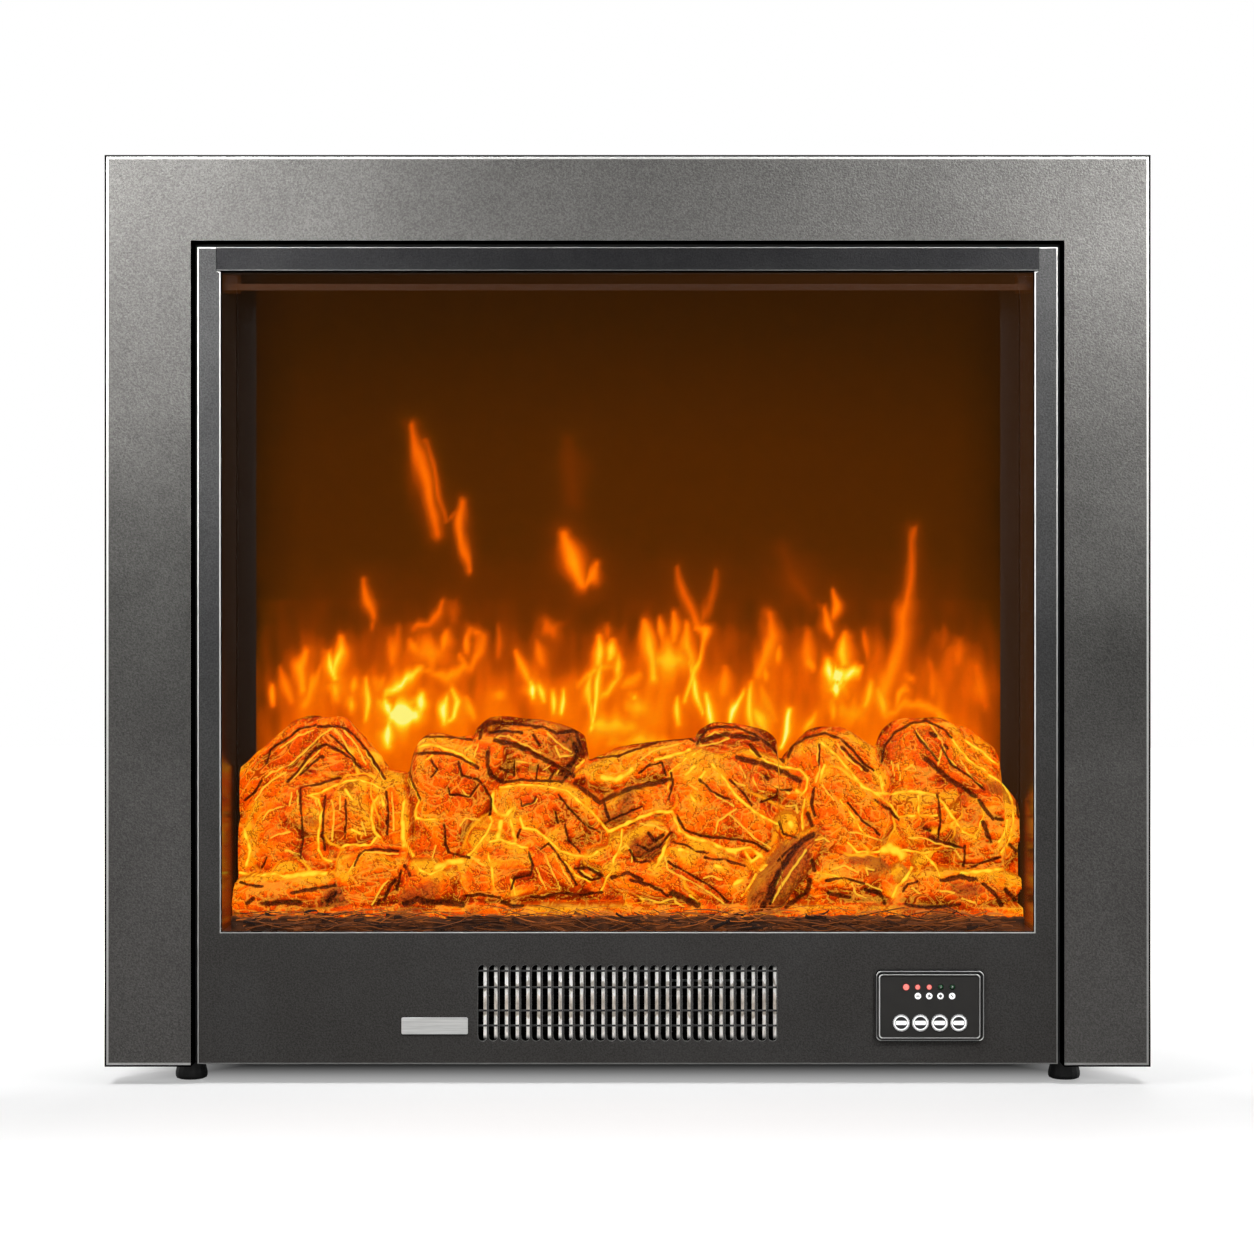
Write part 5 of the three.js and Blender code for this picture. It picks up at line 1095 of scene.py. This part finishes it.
bmesh.ops.translate(form, verts=form.verts, vec=((low.x + high.x) / 2, low.y, (low.z + high.z) / 2))
rim = bmesh.ops.extrude_edge_only(form, edges=[edge for edge in form.edges if edge.is_boundary])["geom"]
behind = [part for part in rim if isinstance(part, bmesh.types.BMVert)]
bmesh.ops.translate(form, verts=behind, vec=(0, high.y - low.y, 0))
bmesh.ops.holes_fill(form, edges=[edge for edge in form.edges if edge.is_boundary], sides=0)
bmesh.ops.recalc_face_normals(form, faces=form.faces)
px, py = photoPlaces(np.array([vert.co[:] for vert in form.verts]), low.y)
wave, ripple = drift(px, py, 21, 46, 1.7), drift(px, py, 9, 26, 5.1)
px = px + wave * 5.0 + ripple * 2.6
py = py + ripple * 3.0
glowHeights = (285, 350, 450, 550, 620, 655, 690, 720, 800)  # photo pixels from the top, and the glow there
heat = np.interp(py, glowHeights, (0.08, 0.12, 0.18, 0.21, 0.28, 0.41, 0.53, 0.57, 0.58))
edge = np.clip(np.minimum(px - screenLook["left"], screenLook["right"] - px) / screenLook["fade"], 0, 1)
sideways = np.clip(np.abs(px - screenLook["middle"]) / screenLook["half"], 0, 1)
heat *= 0.55 + 0.45 * edge ** 0.6 - 0.14 * sideways ** 2 * (py < screenLook["upper"])
flicker = np.where(py > screenLook["upper"], wave * 0.1 + ripple * 0.06, wave * 0.015)
heat += flicker * np.clip((py - 560) / 90, 0, 1)
fire = np.zeros(len(heat))
for width, strength, *points in flameStrokes:
    near = np.full(len(heat), 1e9)
    along = np.zeros(len(heat))
    legs = list(zip(points, points[1:]))
    for leg, (start, end) in enumerate(legs):
        off, t = toStroke(px, py, start, end)
        closer = off < near
        near = np.where(closer, off, near)
        along = np.where(closer, (leg + t) / len(legs), along)
    taper = 0.4 + 0.6 * np.sin(math.pi * np.clip(along, 0.06, 0.94))
    reach = width * taper * 1.35 + 1.3
    core = np.exp(-(near / reach) ** 1.5) * (0.62 + 0.38 * taper)
    halo = np.exp(-(near / (width * 1.6 + 8)) ** 2) * 0.16
    fire = np.maximum(fire, strength * core) + strength * halo * (1 - fire.clip(0, 1)) * 0.5
heat = heat + fire * (0.87 - 0.62 * heat)
flame = Finish("projectedFlame", Roughness=0.6, Base_Color=shade("030100"), Specular_IOR_Level=0.0)
level = flame.stored("fireLevel") + (flame.grain(90, 2.0) - 0.5) * 0.03
fireShade = flame.ramp(level, (0.0, "1c0e05"), (0.1, "371a01"), (0.2, "532500"), (0.32, "7a3000"),
                       (0.44, "b44400"), (0.54, "e65a00"), (0.64, "ff7400"), (0.76, "ff9404"),
                       (0.88, "ffc416"), (0.96, "ffe838"), (1.0, "fff47c"))
flame.put(Emission_Color=fireShade, Emission_Strength=1.0)
flame.bump(flame.grain(800, 2.0), 0.1, 0.0003)
screen = makePiece("flameScreenLit", form, flame, "casing", ("flame_screen",), smooth=False)
screen.data.attributes.new("fireLevel", "FLOAT", "POINT").data.foreach_set("value", heat.astype(np.float32))
print("flame screen:", len(screen.data.polygons), "faces")

# ember strip: dry fibres and ash along the front
strip = {
    "strands": 420, "strandLength": (14, 62), "strandWidth": (0.35, 1.0),  # lengths and widths in mm
    "flakes": 120, "flakeLength": (5, 14), "flakeWidth": (1.4, 3.2),
}
low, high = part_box("ember_strip")
span = high - low
# painted light: the fibres glow with the fire's light, dim brown below and orange at the top
fibre = Finish("charredFibre", Emission_Strength=0.85, Specular_IOR_Level=0.2)
tone, lit = fibre.stored("tone"), fibre.stored("lit")
streaks = fibre.grain(500, 3.0, 0.6, (0.15, 1, 1))
dimGlow = fibre.mix(tone.between(0.2, 0.9), shade("120804"), shade("6e3714"))
fibre.put(Base_Color=fibre.mix(tone, shade("150c07"), shade("5c3418")), Roughness=0.7 + 0.2 * streaks,
          Emission_Color=fibre.mix(lit, dimGlow, shade("ff8424")))
fibre.bump(streaks, 0.8, 0.0008)
form = bmesh.new()
tones = form.verts.layers.float.new("tone")
lits = form.verts.layers.float.new("lit")
heap = bmesh.ops.create_cube(form, size=1.0)["verts"]
bmesh.ops.scale(form, verts=heap, vec=(span.x - 1 * mm, span.y * 0.6, span.z * 0.55))
middle = ((low.x + high.x) / 2, (low.y + high.y) / 2 + 1.4 * mm, low.z + span.z * 0.28)
bmesh.ops.translate(form, verts=heap, vec=middle)
lengthwise = [edge for edge in form.edges if abs(edge.verts[0].co.x - edge.verts[1].co.x) > 0.1]
bmesh.ops.subdivide_edges(form, edges=lengthwise, cuts=260)
across = [edge for edge in form.edges if abs(edge.verts[0].co.z - edge.verts[1].co.z) > 5 * mm]
bmesh.ops.subdivide_edges(form, edges=across, cuts=4)
for vert in form.verts:
    up = (vert.co.z - low.z) / span.z
    jag = wavy(vert.co.x * 55, 0, 3) + 0.6 * wavy(vert.co.x * 230, vert.co.z * 300, 7)
    vert.co.z += up * jag * 5.5 * mm
    vert.co.y += noise.noise(vert.co * 180) * 1.2 * mm
    vert[tones] = 0.35 + 0.4 * noise.noise(vert.co * 130)
    vert[lits] = max(0.0, up - 0.45)
strandForm = bmesh.new()
bmesh.ops.create_cone(strandForm, cap_ends=True, segments=4, radius1=0.5, radius2=0.28, depth=1.0)
sides = [edge for edge in strandForm.edges if abs(edge.verts[0].co.z - edge.verts[1].co.z) > 0.5]
bmesh.ops.subdivide_edges(strandForm, edges=sides, cuts=4)
strandMesh = bpy.data.meshes.new("strand")
strandForm.to_mesh(strandMesh)
strandForm.free()
for index in range(strip["strands"] + strip["flakes"]):
    isFlake = index >= strip["strands"]
    kind = "flake" if isFlake else "strand"
    length = random.uniform(*strip[kind + "Length"]) * mm
    width = random.uniform(*strip[kind + "Width"]) * mm
    thick = 0.5 * mm if isFlake else width * 0.8
    start = len(form.verts)
    form.from_mesh(strandMesh)
    form.verts.ensure_lookup_table()
    made = form.verts[start:]
    bow = random.uniform(-0.12, 0.12) * length
    tilt = math.radians(random.uniform(-24, 24) if isFlake else random.gauss(0, 9))
    x = random.uniform(low.x + length / 2 + 1 * mm, high.x - length / 2 - 1 * mm)
    rise = random.random() ** 1.3
    z = low.z + 1.5 * mm + rise * (span.z - 6.5 * mm)
    y = random.uniform(low.y + 0.8 * mm, low.y + 3.4 * mm) + rise * 1.6 * mm
    dark = random.random()
    glowing = max(0.0, rise - 0.4) * random.uniform(0.3, 1.6) if dark > 0.3 else 0.0
    for vert in made:
        side = vert.co.copy()
        t = side.z
        vert.co = Vector((t * length, side.x * thick, side.y * width + bow * (1 - 4 * t * t)))
        vert[tones] = dark
        vert[lits] = glowing
    bmesh.ops.rotate(form, verts=made, cent=(0, 0, 0), matrix=Matrix.Rotation(-tilt, 3, "Y"))
    bmesh.ops.translate(form, verts=made, vec=(x, y, z))
for vert in form.verts:
    vert.co = [min(max(value, least), most) for value, least, most in zip(vert.co, low, high)]
bmesh.ops.recalc_face_normals(form, faces=form.faces)
makePiece("emberFibres", form, fibre, "casing", ("ember_strip",), smooth=False)
print("ember strip has its fibres")

# controls
controls = {
    "face": -93.4 * mm,  # front of the recessed panel
    "buttonRing": (0.67, 0.9), "buttonBar": (1.23, 0.46),  # shares of a button's radius
    "lampX": 203.5 * mm, "lampStep": 8.45 * mm, "lampHeight": 71.8 * mm,
    "lampRadii": (2.5, 2.0, 2.0, 0.7, 0.7),  # mm
    "dots": (212.1, 220.4, 228.6, 237.1), "dotHeight": 65.3 * mm, "dotSize": 2.35 * mm,
    "strokeRise": 0.22 * mm,
}
# painted light: the white print also glows
printed = Finish("printedWhite", Roughness=0.45, Emission_Strength=0.5)
ink = printed.mix(printed.grain(2500, 2.0), shade("e9e9e9"), shade("fafafa"))
printed.put(Base_Color=ink, Emission_Color=ink)
greyInk = Finish("printedGrey", Roughness=0.5)
greyInk.put(Base_Color=greyInk.mix(greyInk.grain(2500, 2.0), shade("505052"), shade("6c6c6e")))
litLens = Finish("redLens", Roughness=0.15, Base_Color=shade("7a0a0a"), Emission_Strength=0.95)
core = litLens.mix(litLens.grain(900, 2.0), shade("ff6a60"), shade("ffb0a4"))
litLens.put(Emission_Color=litLens.mix(litLens.squarely().between(0.7, 0.97), shade("7a0808"), core))
darkLens = Finish("unlitLens", Roughness=0.2)
darkLens.put(Base_Color=darkLens.mix(darkLens.grain(600, 2.0), shade("6a6a6a"), shade("9a9a9a")))


def spun(form, profile, place, steps=40):  # a profile of (radius, forward) turned about the Y axis
    verts = [form.verts.new((radius, -ahead, 0)) for radius, ahead in profile]
    edges = [form.edges.new(pair) for pair in zip(verts, verts[1:])]
    bmesh.ops.spin(form, geom=verts + edges, cent=(0, 0, 0), axis=(0, 1, 0), angle=math.tau, steps=steps,
                   use_merge=True)
    turned = [vert for vert in form.verts if not vert.tag]
    bmesh.ops.remove_doubles(form, verts=turned, dist=1e-6)
    turned = [vert for vert in form.verts if not vert.tag]
    bmesh.ops.translate(form, verts=turned, vec=place)
    for vert in form.verts:
        vert.tag = True


def closedForm(form):
    bmesh.ops.recalc_face_normals(form, faces=form.faces)
    return form


def roundedBar(form, width, height, depth, radius, place):
    made = bmesh.ops.create_cube(form, size=1.0)["verts"]
    bmesh.ops.scale(form, verts=made, vec=(width, depth, height))
    bmesh.ops.translate(form, verts=made, vec=place)
    upright = [edge for edge in form.edges if edge.verts[0] in made and edge.verts[1] in made
               and abs(edge.verts[0].co.y - edge.verts[1].co.y) > depth * 0.5]
    bmesh.ops.bevel(form, geom=upright, offset=radius, affect="EDGES", segments=6, profile=0.5, material=-1)


for number in range(1, 5):
    low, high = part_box(f"push_button_{number}")
    x, z, face = (low.x + high.x) / 2, (low.z + high.z) / 2, low.y
    radius = (high.x - low.x) / 2
    thick = high.y - low.y
    cap = bmesh.new()
    spun(cap, [(0, 0), (radius * 0.7, 0), (radius, 0), (radius, thick * 0.6),
               (radius * 0.985, thick - 0.22 * mm), (radius * 0.93, thick - 0.06 * mm), (radius * 0.86, thick),
               (radius * 0.6, thick - 0.06 * mm), (0, thick - 0.1 * mm)], (x, face + thick, z))
    makePiece(f"buttonCap{number}", closedForm(cap), finishes["button_plastic"], f"button_{number}",
              (f"push_button_{number}",), smooth=True)
    mark = bmesh.new()
    inner, outer = [radius * share for share in controls["buttonRing"]]
    wide, tall = [radius * share for share in controls["buttonBar"]]
    onFace = (x, face + 0.13 * mm, z)
    spun(mark, [(inner, -0.1 * mm), (outer, -0.1 * mm), (outer, 0.12 * mm), (inner, 0.12 * mm),
                (inner, -0.1 * mm)], onFace, 48)
    roundedBar(mark, wide, tall, 0.24 * mm, radius * 0.18, onFace)
    makePiece(f"buttonMark{number}", closedForm(mark), printed, f"button_{number}",
              smooth=False)

for number, size in enumerate(controls["lampRadii"]):
    size = size * mm
    x = controls["lampX"] + controls["lampStep"] * number
    dome = bmesh.new()
    spun(dome, [(0, 0), (size, 0), (size, 0.25 * mm), (size * 0.85, 0.5 * mm), (size * 0.45, 0.68 * mm),
                (0, 0.72 * mm)], (x, controls["face"] + 0.05 * mm, controls["lampHeight"]), 28)
    lens = litLens if number < 3 else darkLens
    makePiece(f"lampLens{number + 1}", closedForm(dome), lens, "casing", smooth=True)

dotForm, strokeForm = bmesh.new(), bmesh.new()
for number, x in enumerate(controls["dots"]):
    spot = (x * mm, controls["face"] + 0.02 * mm, controls["dotHeight"])
    size = controls["dotSize"]
    profile = [(0, 0), (size, 0), (size, 0.16 * mm), (size - 0.08 * mm, 0.2 * mm), (0, 0.2 * mm)]
    spun(dotForm, profile, spot, 28)
    bars = 1 + number % 3
    for turn in range(bars):  # plain strokes: one bar, a cross, a star
        before = set(strokeForm.verts)
        roundedBar(strokeForm, size * 1.1, size * 0.34, 0.08 * mm, size * 0.12, (0, 0, 0))
        fresh = [vert for vert in strokeForm.verts if vert not in before]
        spin = Matrix.Rotation(math.pi * turn / bars + 0.3 * number, 3, "Y")
        bmesh.ops.rotate(strokeForm, verts=fresh, cent=(0, 0, 0), matrix=spin)
        bmesh.ops.translate(strokeForm, verts=fresh, vec=(spot[0], spot[1] - controls["strokeRise"], spot[2]))
makePiece("iconDots", closedForm(dotForm), printed, "casing", smooth=False)
makePiece("iconStrokes", closedForm(strokeForm), greyInk, "casing", smooth=False)

# painted highlight: the bezel ridges are lighter and glow on the sides and corners turned to the light
ridgeGloss = Finish("ridgeGloss", Roughness=0.3, Emission_Strength=0.12)
shine = ridgeGloss.stored("shine")
gleam = ridgeGloss.mix(shine + (ridgeGloss.grain(700, 2.0) - 0.5) * 0.1, shade("161615"), shade("d8d8d6"))
ridgeGloss.put(Base_Color=gleam, Emission_Color=gleam)
ridges = bmesh.new()
shines = ridges.verts.layers.float.new("shine")
bezelRidges = [
    # left, right, foot, top, corner radius, half width, and the painted highlight on its left, right, foot and
    # top
    (181.9, 260.0, 32.9, 83.3, 3.6, 0.42, 0.18, 0.34, 0.1, 0.42),
    (184.0, 257.3, 34.7, 80.9, 2.4, 0.5, 0.8, 0.4, 0.42, 0.44),
]
bezelFace = -93.98  # mm
ridgeProfile = ((-1, 0), (-0.6, 0.24), (0, 0.34), (0.6, 0.24), (1, 0), (0, -0.3))  # across, and forward in mm
for left, right, foot, top, corner, half, *sideShine in bezelRidges:
    track = []
    middles = ((right - corner, top - corner, 0), (left + corner, top - corner, 90),
               (left + corner, foot + corner, 180), (right - corner, foot + corner, 270))
    for middleX, middleZ, start in middles:
        for step in range(9):
            turn = math.radians(start + step * 11.25)
            outX, outZ = math.cos(turn), math.sin(turn)
            track.append((middleX + corner * outX, middleZ + corner * outZ, outX, outZ))
    loops = []
    for x, z, outX, outZ in track:
        sides = (max(0, -outX), max(0, outX), max(0, -outZ), max(0, outZ))
        bright = sum(share * shine for share, shine in zip(sides, sideShine))
        # painted highlights at the corners
        bright += (1.2 if outZ > 0 or outX > 0 else 0.7) * abs(outX * outZ)
        ring = []
        for across, ahead in ridgeProfile:
            shift = across * half
            place = Vector((x + outX * shift, bezelFace - ahead, z + outZ * shift))
            vert = ridges.verts.new(place * mm)
            vert[shines] = min(1.0, bright) * (1.0 if abs(across) < 0.8 else 0.3)
            ring.append(vert)
        loops.append(ring)
    for first, second in zip(loops, loops[1:] + loops[:1]):
        for index in range(-1, len(first) - 1):
            ridges.faces.new((first[index], first[index + 1], second[index + 1], second[index]))
makePiece("bezelRidges", closedForm(ridges), ridgeGloss, "casing", smooth=True)

bevelled = (
    # node, its piece, slot, bevel
    ("control_bezel", "controlBezelBody", "bezel_gloss", 0.28 * mm),
    ("badge_plate", "badgePlateBody", "badge_aluminium", 0.3 * mm),
)
for node, name, slot, width in bevelled:
    makePiece(name, soften(copyOf(node), width, 3), finishes[slot], "casing", (node,))
print("controls are drawn")

# dark filter cloth behind the two groups of intake slots
filters = {
    "rows": ((34, 106), (516, 594)),  # foot and top of each pad, mm
    "width": 184 * mm, "thickness": 1.2 * mm, "x": -60 * mm, "y": 86.6 * mm,
}
pads = bmesh.new()
for foot, top in filters["rows"]:
    made = bmesh.ops.create_cube(pads, size=1.0)["verts"]
    bmesh.ops.scale(pads, verts=made, vec=(filters["width"], filters["thickness"], (top - foot) * mm))
    bmesh.ops.translate(pads, verts=made, vec=(filters["x"], filters["y"], (top + foot) / 2 * mm))
makePiece("intakeFilters", pads, filterCloth, "casing", smooth=False)
print("filters are behind the rear slots")

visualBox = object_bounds()
for name, box in (("CAD", cadBox), ("visual", visualBox)):
    print(name, "box", [round(value, 4) for corner in box for value in corner])
